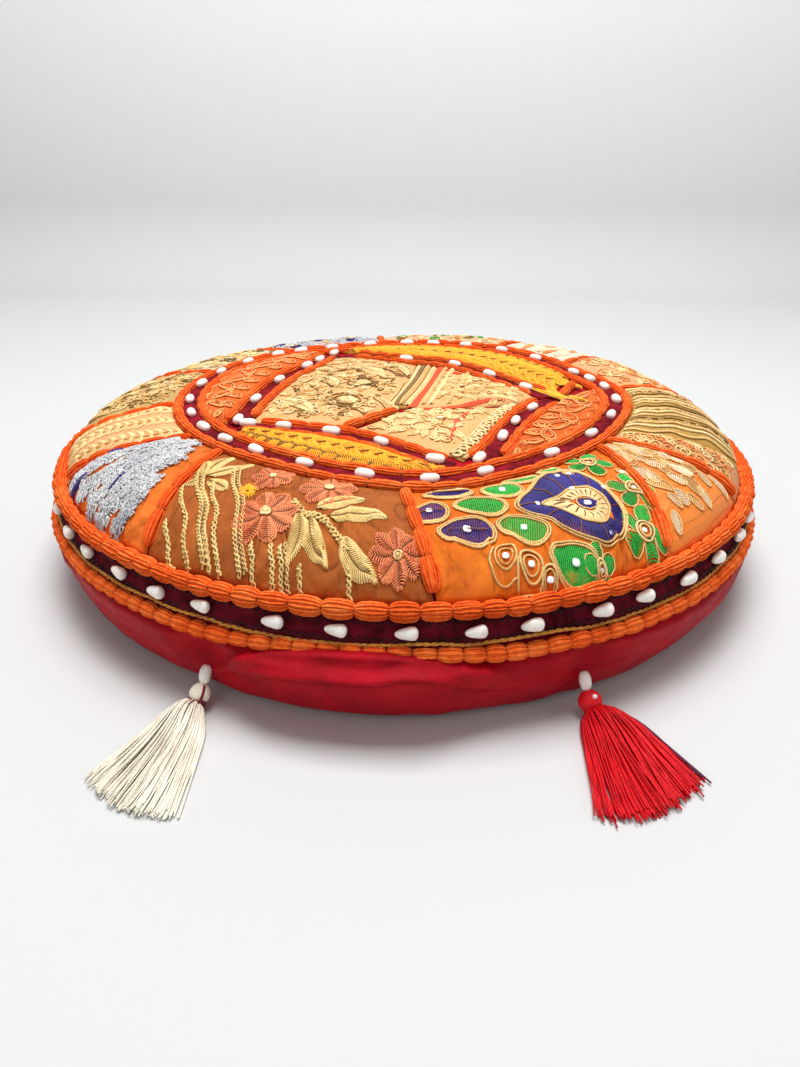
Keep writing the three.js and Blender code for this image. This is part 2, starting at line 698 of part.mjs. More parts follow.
// One strand of a skirt: from inside the neck, down to the floor and out along it
function strandSolid(neck, fan, share, layer) {
  const wave = STRAND.wave * Math.sin(share * STRAND.waveShare + layer * STRAND.waveLayer);
  const heading = radians(mix(fan.from, fan.to, share));
  const middle = 1 - Math.abs(2 * share - 1);
  const length = mix(fan.short, fan.long, middle) * (1 - STRAND.layerTrim * layer) + wave;
  const floor = STRAND.floor + STRAND.layerRise * layer;
  const start = neck.z + STRAND.layerSpread * (layer - 1);
  const out = new THREE.Vector3(Math.cos(heading), Math.sin(heading), 0);
  const side = new THREE.Vector3(-out.y, out.x, 0);
  const sections = STRAND.sections.map(({ along, width }) => {
    const lying = THREE.MathUtils.smoothstep(along, 0, STRAND.lying);
    const bottom = mix(start, floor, lying);
    const point = neck.clone().addScaledVector(out, length * along);
    const corner = (aside, lift) => (
      point.clone().addScaledVector(side, aside * width).setZ(bottom + lift * width)
    );
    return [corner(-0.5, 0), corner(0.5, 0), corner(0, STRAND.thickness)];
  });
  return stackSolid(sections, false);
}

function toSolid(geometry) {
  const welded = mergeVertices(geometry, 1e-4);
  return new wasm.Manifold(new wasm.Mesh({
    numProp: 3,
    vertProperties: new Float32Array(welded.getAttribute('position').array),
    triVerts: new Uint32Array(welded.index.array),
  }));
}

function fromSolid(solid) {
  const mesh = solid.getMesh();
  const geometry = new THREE.BufferGeometry();
  geometry.setAttribute('position', new THREE.BufferAttribute(mesh.vertProperties, 3));
  geometry.setIndex(new THREE.BufferAttribute(mesh.triVerts, 1));
  return geometry;
}

function addTassel({ name, azimuth, cord, bead, head: headRadius, strands, fan }) {
  const head = at(azimuth, TASSEL.headOut, TASSEL.headHeight);
  const neck = at(azimuth, TASSEL.neckOut, TASSEL.neckHeight);
  const beadMiddle = at(azimuth, TASSEL.beadOut, TASSEL.beadHeight);
  const lean = beadMiddle.clone().sub(head).normalize();
  const beadLow = head.clone().addScaledVector(lean, headRadius + GAP);
  const beadHigh = beadLow.clone().addScaledVector(lean, TASSEL.beadLength);
  const beadProfile = scaled(BEAD_PROFILE, TASSEL.beadRadius);
  const beadSolid = roundPiece(beadHigh, beadLow, beadProfile, TASSEL.beadSides);
  addPiece(`tassel_bead_${name}`, beadSolid, bead, 0.4);
  const headTop = head.clone().addScaledVector(lean, headRadius);
  const headProfile = [
    ...scaled(HEAD_PROFILE, headRadius), { along: 1, radius: TASSEL.neckRadius },
  ];
  const rootEnd = at(azimuth, TASSEL.neckOut + TASSEL.rootLength, TASSEL.rootHeight);
  const rootProfile = [
    { along: 0, radius: TASSEL.neckRadius }, { along: 1, radius: TASSEL.rootRadius },
  ];
  let solid = toSolid(roundPiece(headTop, neck, headProfile, TASSEL.headSides));
  solid = solid.add(toSolid(roundPiece(neck, rootEnd, rootProfile, TASSEL.headSides)));
  for (let i = 0; i < strands; i += 1) {
    const strand = strandSolid(neck, fan, (i + 0.5) / strands, i % STRAND.layers);
    solid = solid.add(toSolid(strand));
  }
  addPiece(`tassel_${name}`, fromSolid(solid), cord, 0.85);
}

buildBody();
addOuterPatches();
addSegments();
addCentre();
addRingAndSquare();
addSpokes();
addBand();
TASSELS.forEach(addTassel);

export default cushion;
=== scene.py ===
"""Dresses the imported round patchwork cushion: the red cloth of the filled body, the puffed
patches and their embroidery, couched wool rows, velvet ribbons, beads and tassels.

Tables are in millimetres in the CAD's frame: +Z up, the front at -Y, the floor at zero.
"""
import math

import bpy
import numpy as np
from bpy.props import FloatProperty, FloatVectorProperty, IntProperty, PointerProperty
from mathutils import Matrix, Vector
from mathutils.bvhtree import BVHTree


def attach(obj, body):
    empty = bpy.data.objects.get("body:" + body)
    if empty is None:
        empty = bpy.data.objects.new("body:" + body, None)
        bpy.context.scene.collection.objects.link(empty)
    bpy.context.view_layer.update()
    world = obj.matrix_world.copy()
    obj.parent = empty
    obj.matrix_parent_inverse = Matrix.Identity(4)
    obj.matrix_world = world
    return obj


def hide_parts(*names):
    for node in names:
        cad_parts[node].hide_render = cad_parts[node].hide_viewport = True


bl_info = {
    "name": "Round patchwork cushion",
    "version": (1, 0, 0),
    "blender": (4, 5, 0),
    "location": "3D View > Sidebar > Cushion",
    "description": "Dresses the packed cushion with cloth, embroidery, wool rows, beads and tassels",
    "category": "Object",
}

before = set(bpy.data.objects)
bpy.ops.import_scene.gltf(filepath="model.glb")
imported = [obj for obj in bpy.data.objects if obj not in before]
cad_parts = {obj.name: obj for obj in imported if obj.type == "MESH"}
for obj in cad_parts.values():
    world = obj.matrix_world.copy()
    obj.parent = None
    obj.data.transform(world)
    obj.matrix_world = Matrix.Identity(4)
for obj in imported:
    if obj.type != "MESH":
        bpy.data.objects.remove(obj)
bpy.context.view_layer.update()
MM = 0.001

# Sizes, most of them shared with the CAD

GAP = 0.3
SHOULDER_GAP = 0.75
CROWN = (
    (0, 86.4), (60, 86.0), (110, 84.5), (140, 82.3), (158, 79.0), (170, 75.1),
    (180, 69.4), (187, 63.0), (190.6, 57.0),
)
SHOULDER = ((0, 1.5), (45, 3), (90, 0.5), (135, -2), (180, -2), (225, 0), (270, 0.5), (315, 0))
SHOULDER_SPAN = (112, 190.6)
# Outline of the red cloth from the upper seam down to the flat of the base: radius, height
EDGE = (
    (190.6, 57.0), (192.4, 52.4), (196.2, 42.5), (196.2, 38.8), (197.4, 34.6), (200.6, 31.5),
    (200.2, 27.0), (198.6, 21.0), (195.4, 12.6), (190.9, 5.1), (184.9, 1.1), (176, 0.1), (167, 0),
)
RING = (
    (0, 123.5), (25, 118), (45, 121), (65, 124), (90, 120), (115, 116), (140, 123), (180, 123.5),
    (210, 122.5), (240, 121.5), (262, 127.5), (276, 131), (292, 125), (312, 120), (335, 119),
)
SIDES = {
    "left": ((-88, -60), (-84, -22), (-75, 20), (-62, 52), (-46, 90)),
    "back": ((-46, 90), (-4, 71), (25, 62), (46, 43), (65, 16), (87, -11)),
    "right": ((87, -11), (69, -36), (56, -62), (44, -92), (31, -114)),
    "front": ((31, -114), (11, -107), (-12, -88), (-36, -75), (-60, -67), (-88, -60)),
}
# Seams of the outer patches, counter-clockwise: name, azimuth at the ring and at the rim
SEAMS = (
    ("front", 270, 273.8), ("front_right", 318.6, 306.8), ("right_front", 323.6, 330.9),
    ("plain", 330.5, 342.5), ("right", 366, 369.5), ("right_back", 393, 395),
    ("back_right", 419, 418), ("back", 457, 456), ("back_left", 488, 490),
    ("left_back", 518, 517), ("left", 548.2, 551.3), ("left_front", 574.3, 564.7),
    ("front_left", 586.9, 594.4),
)
SPOKE_END = 0.955
RIBBON = {"ring": 10.4, "side": 10.2}  # width with the edges tucked under the rows
ROW = {"width": 5.2, "height": 4.3, "puff": 13.0, "waist": 0.38, "sunk": 0.5}
# Rows at the rim; the last three: tucked in under the fold, strands more, times the strand's radius
RIM_ROWS = {
    "upper": {"radius": 194.7, "height": 57.0, "width": 7.6, "depth": 7.8, "puff": 11.8,
              "waist": 0.34, "tuck": 0.0, "strands": 4, "strand": 1.15},
    "lower": {"radius": 199.3, "height": 38.6, "width": 6.2, "depth": 5.8, "puff": 9.6,
              "waist": 0.36, "tuck": 1.4, "strands": -2, "strand": 1.2},
}
BAND = {"top": 53.2, "bottom": 41.6, "length": 1230}
PATCH = {"edge": 0.7, "puff": 2.9, "shoulder": 9.0, "rim_radius": 190.2, "step": 1.5}
ROW_OFFSET = {"ring": 6.55, "side": 6.25}
PATCH_TUCK = {"ring": 7.0, "side": 6.6, "spoke": 0.6, "plain": 0.12}
SIDE_ENDS = {
    "left": {"ribbon": (0.02, 0.97), "outer": (0.05, 0.94), "inner": (0.09, 0.9)},
    "back": {"ribbon": (0.04, 0.97), "outer": (0.08, 0.93), "inner": (0.1, 0.92)},
    "right": {"ribbon": (0.04, 0.92), "outer": (0.07, 0.81), "inner": (0.1, 0.91)},
    "front": {"ribbon": (0.06, 0.98), "outer": (0.14, 0.95), "inner": (0.1, 0.91)},
}
CORNER_ROW = ((93, -3), (104, 22))
CENTRE_ROW = ((-31, -65), (-17, -51), (-4, -39))

# Outer patches, counter-clockwise from the front: name, finish and slot
OUTER_PATCHES = (
    ("paisley_orange", "orange_cotton", "orange_cloth"),
    ("blotch_orange", "blotch_orange", "orange_brocade"),
    ("scroll_peach", "scroll_peach", "peach_brocade"),
    ("striped_olive", "striped_olive", "olive_brocade"),
    ("peach_cream", "peach_cream", "peach_brocade"),
    ("cream_right", "cream_right", "cream_brocade"),
    ("green_cream", "green_cream", "cream_brocade"),
    ("grey_navy", "grey_navy", "grey_navy"),
    ("pale_olive", "pale_olive", "cream_brocade"),
    ("gold_olive", "gold_olive", "olive_brocade"),
    ("wheat_peach", "wheat_peach", "peach_brocade"),
    ("silver_scroll", "pale_orange", "silver_scroll"),
    ("floral_rust", "rust_cotton", "rust_cloth"),
)
# Name, finish, slot, side of the square, shares along it and azimuths at the ring
SEGMENTS = (
    ("braid_front", "yellow_ground", "yellow_braid", "front", (0.1, 0.97), (279, 219)),
    ("orange_right", "orange_plain", "tan_stitch_orange", "right", (0.03, 0.85), (368, 295)),
    ("braid_back", "yellow_ground", "yellow_braid", "back", (0.04, 0.95), (114, 20)),
    ("orange_left", "orange_plain", "tan_stitch_orange", "left", (0.02, 0.97), (209, 121)),
)
# Name, finish, slot, and the lines of the left, right, start and end edges
CENTRE_PATCHES = (
    ("scroll_cream", "cream_gold", "cream_brocade", ("side", "left", 0, 0.04, 0.96),
     ("line", (-37.8, -61.8), (-19.8, -47.8), (-9.8, -33.5), (0.8, 8), (8.6, 58)),
     ("side", "front", 0, 0.95, 0.63), ("side", "back", 0, 0.04, 0.35)),
    ("olive_strip", "olive_gold", "olive_brocade", ("line", (-9.4, -33), (0.8, 8), (8.6, 57)),
     ("line", (2.2, -31), (12.6, 6), (21.2, 52)), None, None),
    ("zari_right", "cream_gold", "cream_brocade", ("line", (3.8, -30.8), (12.4, 6), (22, 51)),
     ("line", (64, -21), (69.5, -14), (73, -8)), ("line", (3.8, -31.2), (36, -29.6), (64, -21)),
     ("side", "back", 0, 0.44, 0.95)),
    ("zari_front", "cream_gold", "cream_brocade", ("side", "front", 0, 0.57, 0.12),
     ("line", (0.6, -38.4), (30, -33.4), (52.6, -27)),
     ("line", (-27.6, -69.6), (-13.6, -54.4), (0.6, -38.4)), ("side", "right", 8.9, 0.95, 0.26)),
    ("border_strip", "olive_gold", "olive_brocade", ("side", "right", 9.3, 0.24, 0.94),
     ("side", "right", 0, 0.19, 0.96), None, None),
)

# Azimuth of each bead on the ring, and the share along its ribbon of each bead on the square
RING_BEADS = (
    275, 287, 306, 324, 341, 355, 7, 15, 23, 42, 56, 69, 80, 89, 102, 116, 127, 135, 147, 160,
    173, 188, 200, 212, 223, 234, 248, 262,
)
SIDE_BEADS = {
    "back": (0.3, 0.5, 0.68, 0.87), "left": (0.97, 0.84, 0.73, 0.5, 0.25, 0.03),
    "front": (0.95, 0.8, 0.6, 0.38, 0.13), "right": (0.23, 0.45, 0.66, 0.93),
}
BAND_BEADS = {"count": 45, "radius": 198.2, "height": 49.4, "first": 5.8}


# Shape of the crown

def follow(table, at):
    """Smooth value of a two-column table, by the rule that the CAD's tables follow."""
    xs, ys = np.array(table, float).T
    last = len(xs) - 1
    k = np.arange(last + 1)
    after, before = np.minimum(k + 1, last), np.maximum(k - 1, 0)
    slopes = (ys[after] - ys[before]) / (xs[after] - xs[before])
    at = np.asarray(at, float)
    i = np.clip(np.searchsorted(xs, at, side="left") - 1, 0, last - 1)
    span = xs[i + 1] - xs[i]
    t = (at - xs[i]) / span
    bend = t * t * (3 - 2 * t)
    rise = span * slopes[i] * t * (1 - t) ** 2
    fall = span * slopes[i + 1] * t * t * (t - 1)
    return ys[i] + (ys[i + 1] - ys[i]) * bend + rise + fall


def follow_round(table, azimuth):
    """The same over a table of directions that closes on itself."""
    (before, low), (first, high), (second, higher) = table[-1], table[0], table[1]
    wrapped = ((before - 360, low), *table, (first + 360, high), (second + 360, higher))
    return follow(wrapped, np.mod(azimuth, 360))


def ring_radius(azimuth):
    return follow_round(RING, azimuth)


def crown_height(x, y):
    radius, azimuth = np.hypot(x, y), np.degrees(np.arctan2(y, x))
    inner, outer = SHOULDER_SPAN
    across = np.clip((radius - inner) / (outer - inner), 0, 1)
    lift = follow_round(SHOULDER, azimuth) * np.sin(np.pi * across) ** 2
    return follow(CROWN, np.minimum(radius, outer)) + lift


def length_along(points):
    """Running length through rows of points, from zero."""
    return np.concatenate([[0], np.cumsum(np.linalg.norm(np.diff(points, axis=0), axis=-1))])


def crown_normal(x, y):
    step = 0.5
    slope_x = (crown_height(x + step, y) - crown_height(x - step, y)) / (2 * step)
    slope_y = (crown_height(x, y + step) - crown_height(x, y - step)) / (2 * step)
    return unit(np.stack([-slope_x, -slope_y, np.ones_like(slope_x)], -1))


def bed(x, y):
    """Clearance under cloth that lies on the crown."""
    inner, outer = SHOULDER_SPAN
    t = np.clip((np.hypot(x, y) - inner) / ((outer - inner) / 2), 0, 1)
    return GAP + (SHOULDER_GAP - GAP) * t * t * (3 - 2 * t)


def on_crown(plan, lift):
    """Points at a height over the crown, measured square to it."""
    x, y = plan[..., 0], plan[..., 1]
    foot = np.stack([x, y, crown_height(x, y)], -1)
    return foot + crown_normal(x, y) * (bed(x, y) + lift)[..., None]


def polar(azimuth, radius):
    angle = np.radians(azimuth)
    return np.stack([radius * np.cos(angle), radius * np.sin(angle)], -1)


def unit(vectors):
    return vectors / np.linalg.norm(vectors, axis=-1, keepdims=True)


def at_height(plan, height):
    """Plan points with their heights."""
    return np.column_stack([plan, np.broadcast_to(height, len(plan))])


def noise(x, y, seed):
    """Smooth random field from -1 to 1 whose bumps are one unit across."""
    column, row = np.floor(x).astype(np.int64), np.floor(y).astype(np.int64)
    u, v = x - column, y - row
    u, v = u * u * (3 - 2 * u), v * v * (3 - 2 * v)

    def corner(i, j):
        mixed = (i * 374761393 + j * 668265263 + seed * 1274126177) & 0xFFFFFFFF
        mixed = ((mixed ^ (mixed >> 13)) * 1103515245) & 0xFFFFFFFF
        return ((mixed ^ (mixed >> 16)) & 0xFFFF) / 32767.5 - 1

    low = corner(column, row) * (1 - u) + corner(column + 1, row) * u
    high = corner(column, row + 1) * (1 - u) + corner(column + 1, row + 1) * u
    return low * (1 - v) + high * v


def heading(line, t, ring=False, step=1e-3):
    """Unit direction of a plan line at its shares."""
    if ring:
        return unit(line(np.mod(t + step, 1)) - line(np.mod(t - step, 1)))
    return unit(line(np.minimum(t + step, 1)) - line(np.maximum(t - step, 0)))


def turned_left(aim):
    return np.stack([-aim[..., 1], aim[..., 0]], -1)


# Plan lines

class PlanCurve:
    """Smooth line through plan points, followed by its length."""

    def __init__(self, points):
        given = np.array([points[0], *points, points[-1]], float)
        t = np.linspace(0, 1, 40, endpoint=False)[:, None]
        runs = []
        for a, b, c, d in zip(given, given[1:], given[2:], given[3:]):
            tangent, next_tangent = (c - a) / 2, (d - b) / 2
            runs.append(
                (2 * t**3 - 3 * t**2 + 1) * b + (t**3 - 2 * t**2 + t) * tangent
                + (-2 * t**3 + 3 * t**2) * c + (t**3 - t**2) * next_tangent
            )
        self.points = np.concatenate([*runs, given[-1:]])
        self.length = length_along(self.points)

    def at(self, share):
        length = np.asarray(share) * self.length[-1]
        return np.stack([np.interp(length, self.length, self.points[:, i]) for i in (0, 1)], -1)

    def beside(self, offset, start=0.0, end=1.0):
        def line(t):
            share = start + (end - start) * np.asarray(t, float)
            return self.at(share) + turned_left(heading(self.at, share)) * offset
        return line


SIDE_CURVES = {name: PlanCurve(points) for name, points in SIDES.items()}


def straight(a, b):
    return lambda t: np.array(a) + (np.array(b) - np.array(a)) * np.asarray(t, float)[..., None]


def round_ring(offset, start=0.0, end=360.0):
    def line(t):
        azimuth = start + (end - start) * np.asarray(t, float)
        return polar(azimuth, ring_radius(azimuth) + offset)
    return line


def seam_line(seam, end=1.0, aside=0.0):
    """Line from the ring to the rim along a seam, or beside it by a distance."""
    _, ring, rim = seam
    start_radius = ring_radius(ring) + ROW_OFFSET["ring"] + ROW["width"] / 2

    def line(t):
        share = np.asarray(t, float) * end
        radius = start_radius + (PATCH["rim_radius"] - start_radius) * share
        azimuth = ring + (rim - ring) * share + np.degrees(aside / radius)
        return polar(azimuth, radius)
    return line


# Meshes

def link(name, mesh):
    made = bpy.data.objects.new(name, mesh)
    bpy.context.scene.collection.objects.link(made)
    return made


def mesh_of(name, points, faces, uv=None):
    """Smooth mesh of points in millimetres, with a UV pair for each point where given."""
    mesh = bpy.data.meshes.new(name)
    mesh.from_pydata((np.asarray(points) * MM).tolist(), [], [list(map(int, f)) for f in faces])
    if uv is not None:
        layer = mesh.uv_layers.new(name="cloth")
        corners = np.zeros(len(mesh.loops), np.int32)
        mesh.loops.foreach_get("vertex_index", corners)
        layer.data.foreach_set("uv", np.asarray(uv, np.float32)[corners].ravel())
    mesh.polygons.foreach_set("use_smooth", np.ones(len(mesh.polygons), bool))
    mesh.validate()
    mesh.update()
    return mesh


def grid_faces(rows, columns, wrap_rows=False, wrap_columns=False, first=0):
    i = np.arange(rows if wrap_rows else rows - 1)
    j = np.arange(columns if wrap_columns else columns - 1)
    i, j = np.meshgrid(i, j, indexing="ij")
    below, beside = (i + 1) % rows, (j + 1) % columns
    corners = [i * columns + j, i * columns + beside, below * columns + beside, below * columns + j]
    return np.stack([c.ravel() for c in corners], 1) + first


def sheet_mesh(name, lower, upper, uv):
    """Closed cloth between two surfaces on one grid, its upper face on the left of its rows."""
    rows, columns = lower.shape[:2]
    count = rows * columns
    top = grid_faces(rows, columns, first=count)
    under = grid_faces(rows, columns)[:, ::-1]
    index = np.arange(count).reshape(rows, columns)
    rim = np.concatenate([index[0, :-1], index[:-1, -1], index[-1, :0:-1], index[:0:-1, 0]])
    after = np.roll(rim, -1)
    edge = np.stack([rim, after, after + count, rim + count], 1)
    points = np.concatenate([lower.reshape(-1, 3), upper.reshape(-1, 3)])
    a, b, c = (points[top[0, k]] for k in (0, 1, 2))
    faces = np.concatenate([top, under, edge])
    if np.cross(b - a, c - a)[2] < 0:
        faces = faces[:, ::-1]
    return mesh_of(name, points, faces, np.concatenate([uv, uv]))


def tube_mesh(name, sections, ring=False):
    """Closed solid through a stack of like sections of points."""
    count, sides = sections.shape[:2]
    points = sections.reshape(-1, 3)
    faces = grid_faces(count, sides, wrap_rows=ring, wrap_columns=True).tolist()
    if not ring:
        faces += [list(range(sides))[::-1], list(range((count - 1) * sides, count * sides))]
    centre = sections[0].mean(0)
    a, b, c = (points[faces[0][k]] for k in (0, 1, 2))
    if np.dot(np.cross(b - a, c - a), a - centre) < 0:
        faces = [f[::-1] for f in faces]
    return mesh_of(name, points, faces)


# Node trees

def node(tree, kind, inputs=None, **settings):
    made = tree.nodes.new(kind)
    for name, value in settings.items():
        setattr(made, name, value)
    for name, value in (inputs or {}).items():
        if isinstance(value, bpy.types.Node):
            value = value.outputs[0]
        if isinstance(value, bpy.types.NodeSocket):
            tree.links.new(value, made.inputs[name])
        else:
            made.inputs[name].default_value = value
    return made


def maths(tree, operation, a, b=0.0, kind="ShaderNodeMath"):
    return node(tree, kind, {0: a, 1: b}, operation=operation).outputs[0]


def times(tree, a, b):
    return maths(tree, "MULTIPLY", a, b)


def plus(tree, a, b):
    return maths(tree, "ADD", a, b)


def vector_maths(tree, operation, a, b=None, scale=None):
    inputs = {0: a}
    if b is not None:
        inputs[1] = b
    if scale is not None:
        inputs["Scale"] = scale
    return node(tree, "ShaderNodeVectorMath", inputs, operation=operation).outputs[0]


def new_tree(name, sockets):
    """Geometry node tree with its inputs: name, socket type and default."""
    tree = bpy.data.node_groups.new(name, "GeometryNodeTree")
    tree.interface.new_socket("Geometry", in_out="INPUT", socket_type="NodeSocketGeometry")
    for label, kind, default in sockets:
        socket = tree.interface.new_socket(label, in_out="INPUT", socket_type=f"NodeSocket{kind}")
        socket.default_value = default
    tree.interface.new_socket("Material", in_out="INPUT", socket_type="NodeSocketMaterial")
    tree.interface.new_socket("Geometry", in_out="OUTPUT", socket_type="NodeSocketGeometry")
    return tree, node(tree, "NodeGroupInput").outputs


def end_tree(tree, given, geometry):
    """Ends a tree as the export needs it: smooth, real geometry with its material."""
    smooth = node(tree, "GeometryNodeSetShadeSmooth", {"Geometry": geometry})
    real = node(tree, "GeometryNodeRealizeInstances", {"Geometry": smooth})
    finish = {"Geometry": real, "Material": given["Material"]}
    node(tree, "NodeGroupOutput", {0: node(tree, "GeometryNodeSetMaterial", finish)})
    return tree


def named(tree, name, kind="FLOAT"):
    return node(tree, "GeometryNodeInputNamedAttribute", {"Name": name}, data_type=kind).outputs[0]


def tubed(tree, curve, sides, radius):
    circle = node(tree, "GeometryNodeCurvePrimitiveCircle", {"Resolution": sides, "Radius": 1.0})
    return node(tree, "GeometryNodeCurveToMesh", {
        "Curve": curve, "Profile Curve": circle, "Scale": radius, "Fill Caps": True,
    })


def thread_tree():
    """Threads along lines: each point's `thick` times the thread's radius."""
    tree, given = new_tree("threads", [("Radius", "Float", 0.0003), ("Sides", "Int", 5)])
    line = node(tree, "GeometryNodeMeshToCurve", {"Mesh": given["Geometry"]})
    radius = times(tree, given["Radius"], named(tree, "thick"))
    return end_tree(tree, given, tubed(tree, line, given["Sides"], radius))


def wool_tree():
    """Bundle of strands round each line, drawn in where `swell` is small, over a plain core."""
    tree, given = new_tree("wool_rows", [
        ("Strands", "Int", 14), ("Strand Radius", "Float", 0.0005), ("Sides", "Int", 3),
        ("Wander", "Float", 0.16), ("Seed", "Int", 3),
    ])
    line = node(tree, "GeometryNodeMeshToCurve", {"Mesh": given["Geometry"]})
    copies = node(tree, "GeometryNodeDuplicateElements", {
        "Geometry": line, "Amount": given["Strands"],
    }, domain="SPLINE").outputs
    strand = copies["Duplicate Index"]
    turn = times(tree, maths(tree, "DIVIDE", strand, given["Strands"]), 2 * math.pi)
    shift = node(tree, "ShaderNodeTexNoise", {
        "Vector": node(tree, "GeometryNodeInputPosition"), "W": times(tree, strand, 3.7),
        "Scale": 130.0,
    }, noise_dimensions="4D").outputs[0]
    shift = times(tree, maths(tree, "SUBTRACT", shift, 0.5), given["Wander"])
    angle = plus(tree, turn, times(tree, shift, 4.0))
    bulge = node(tree, "FunctionNodeRandomValue", {
        "Min": 0.92, "Max": 1.06, "Seed": given["Seed"], "ID": strand,
    }, data_type="FLOAT").outputs["Value"]
    side, up = (named(tree, key, "FLOAT_VECTOR") for key in ("side", "up"))
    swell = named(tree, "swell")
    aside = vector_maths(tree, "SCALE", side, scale=maths(tree, "COSINE", angle))
    above = vector_maths(tree, "SCALE", up, scale=maths(tree, "SINE", angle))
    offset = vector_maths(tree, "ADD", aside, above)
    offset = vector_maths(tree, "SCALE", offset, scale=times(tree, swell, bulge))
    spread = node(tree, "GeometryNodeSetPosition", {"Geometry": copies["Geometry"], "Offset": offset})
    radius = times(tree, given["Strand Radius"], named(tree, "thick"))
    strands = tubed(tree, spread, given["Sides"], radius)
    half = node(tree, "ShaderNodeVectorMath", {0: up}, operation="LENGTH").outputs["Value"]
    core = tubed(tree, line, 8, times(tree, times(tree, half, 0.99), swell))
    joined = node(tree, "GeometryNodeJoinGeometry", {"Geometry": strands})
    tree.links.new(core.outputs[0], joined.inputs[0])
    return end_tree(tree, given, joined)


def bead_tree():
    """Rounded bead on each point, its length along `along` and its top along `up`."""
    tree, given = new_tree("beads", [
        ("Length", "Float", 0.0096), ("Width", "Float", 0.0054), ("Height", "Float", 0.005),
        ("Taper", "Float", 0.0), ("Segments", "Int", 14), ("Rings", "Int", 9),
    ])
    ball = node(tree, "GeometryNodeMeshUVSphere", {
        "Segments": given["Segments"], "Rings": given["Rings"], "Radius": 0.5,
    })
    place = node(tree, "GeometryNodeInputPosition").outputs[0]
    x, y, z = node(tree, "ShaderNodeSeparateXYZ", {0: place}).outputs
    taper = plus(tree, times(tree, z, given["Taper"]), 1.0)
    barrel = plus(tree, times(tree, times(tree, z, z), 4.0), 1.0)
    narrow = times(tree, taper, maths(tree, "POWER", barrel, 0.5))
    shaped = node(tree, "ShaderNodeCombineXYZ", {
        "X": times(tree, z, given["Length"]),
        "Y": times(tree, times(tree, y, given["Width"]), narrow),
        "Z": times(tree, times(tree, x, given["Height"]), narrow),
    })
    turned = node(tree, "GeometryNodeSetPosition", {"Geometry": ball, "Position": shaped})
    flipped = node(tree, "GeometryNodeFlipFaces", {"Mesh": turned})
    spots = node(tree, "GeometryNodeMeshToPoints", {"Mesh": given["Geometry"]})
    rotation = node(tree, "FunctionNodeAxesToRotation", {
        "Primary Axis": named(tree, "up", "FLOAT_VECTOR"),
        "Secondary Axis": named(tree, "along", "FLOAT_VECTOR"),
    }, primary_axis="Z", secondary_axis="X")
    size = named(tree, "thick")
    placed = node(tree, "GeometryNodeInstanceOnPoints", {
        "Points": spots, "Instance": flipped, "Rotation": rotation,
        "Scale": node(tree, "ShaderNodeCombineXYZ", {"X": size, "Y": size, "Z": size}),
    })
    return end_tree(tree, given, placed)


TREES = {}


def node_tree(kind):
    """One of the three trees, made when it is first asked for."""
    if kind not in TREES:
        TREES[kind] = {"thread": thread_tree, "wool": wool_tree, "bead": bead_tree}[kind]()
    return TREES[kind]


def grown(name, seed, kind, finish, **values):
    """Plain mesh that a node tree grows from a mesh of lines or points."""
    tree, material = node_tree(kind), made_material(finish)
    holder = link(name + "_seed", seed)
    modifier = holder.modifiers.new("grow", "NODES")
    modifier.node_group = tree
    wanted = {label.replace("_", " ").title(): value for label, value in values.items()}
    wanted["Material"] = material
    for item in tree.interface.items_tree:
        if item.item_type == "SOCKET" and item.in_out == "INPUT" and item.name in wanted:
            modifier[item.identifier] = wanted.pop(item.name)
    if wanted:
        raise RuntimeError(f"tree {tree.name} has no input {sorted(wanted)}")
    depsgraph = bpy.context.evaluated_depsgraph_get()
    made = bpy.data.meshes.new_from_object(
        holder.evaluated_get(depsgraph), preserve_all_data_layers=True, depsgraph=depsgraph
    )
    bpy.data.objects.remove(holder)
    if not made.polygons:
        raise RuntimeError(f"tree {tree.name} grew nothing for {name}")
    made.name = name
    made.materials.clear()
    made.materials.append(material)
    return link(name, made)


def seed_lines(name, lines, closed=False):
    """Seed of lines, each a dict of its `points` in millimetres and their attributes."""
    edges, first = [], 0
    for line in lines:
        run = np.arange(first, first + len(line["points"]))
        edges.append(np.stack([run[:-1], run[1:]], 1))
        if closed:
            edges.append(run[None, [-1, 0]])
        first += len(run)
    whole = {key: np.concatenate([line[key] for line in lines]) for key in lines[0]}
    return seed_mesh(name, whole.pop("points"), np.concatenate(edges).tolist(), **whole)


def seed_mesh(name, points, edges, **values):
    """Points in millimetres and edges for a tree to grow on, with an attribute for each value."""
    mesh = bpy.data.meshes.new(name)
    mesh.from_pydata((points * MM).tolist(), edges, [])
    for key, given in values.items():
        given = np.asarray(given, np.float32)
        kind, field = ("FLOAT", "value") if given.ndim == 1 else ("FLOAT_VECTOR", "vector")
        mesh.attributes.new(key, kind, "POINT").data.foreach_set(field, given.ravel())
    return mesh


def thread_line(points, thick=1.0):
    return {"points": points, "thick": np.full(len(points), thick)}


# Materials

def colour(red, green, blue):
    """Scene colour of a colour given as it shows on a screen, 0 to 255."""
    share = np.array([red, green, blue]) / 255
    linear = np.where(share <= 0.04045, share / 12.92, ((share + 0.055) / 1.055) ** 2.4)
    return (*map(float, linear), 1.0)


def new_material(name, **shader):
    material = bpy.data.materials.new(name)
    material.use_nodes = True
    tree = material.node_tree
    surface = tree.nodes["Principled BSDF"]
    for label, value in shader.items():
        surface.inputs[label.replace("_", " ")].default_value = value
    return material, tree, surface


def ramp(tree, value, stops):
    """Colour ramp through (place, colour) stops."""
    made = node(tree, "ShaderNodeValToRGB", {0: value})
    elements = made.color_ramp.elements
    elements[0].position, elements[0].color = stops[0]
    elements[1].position, elements[1].color = stops[-1]
    for place, shade in stops[1:-1]:
        elements.new(place).color = shade
    return made.outputs[0]


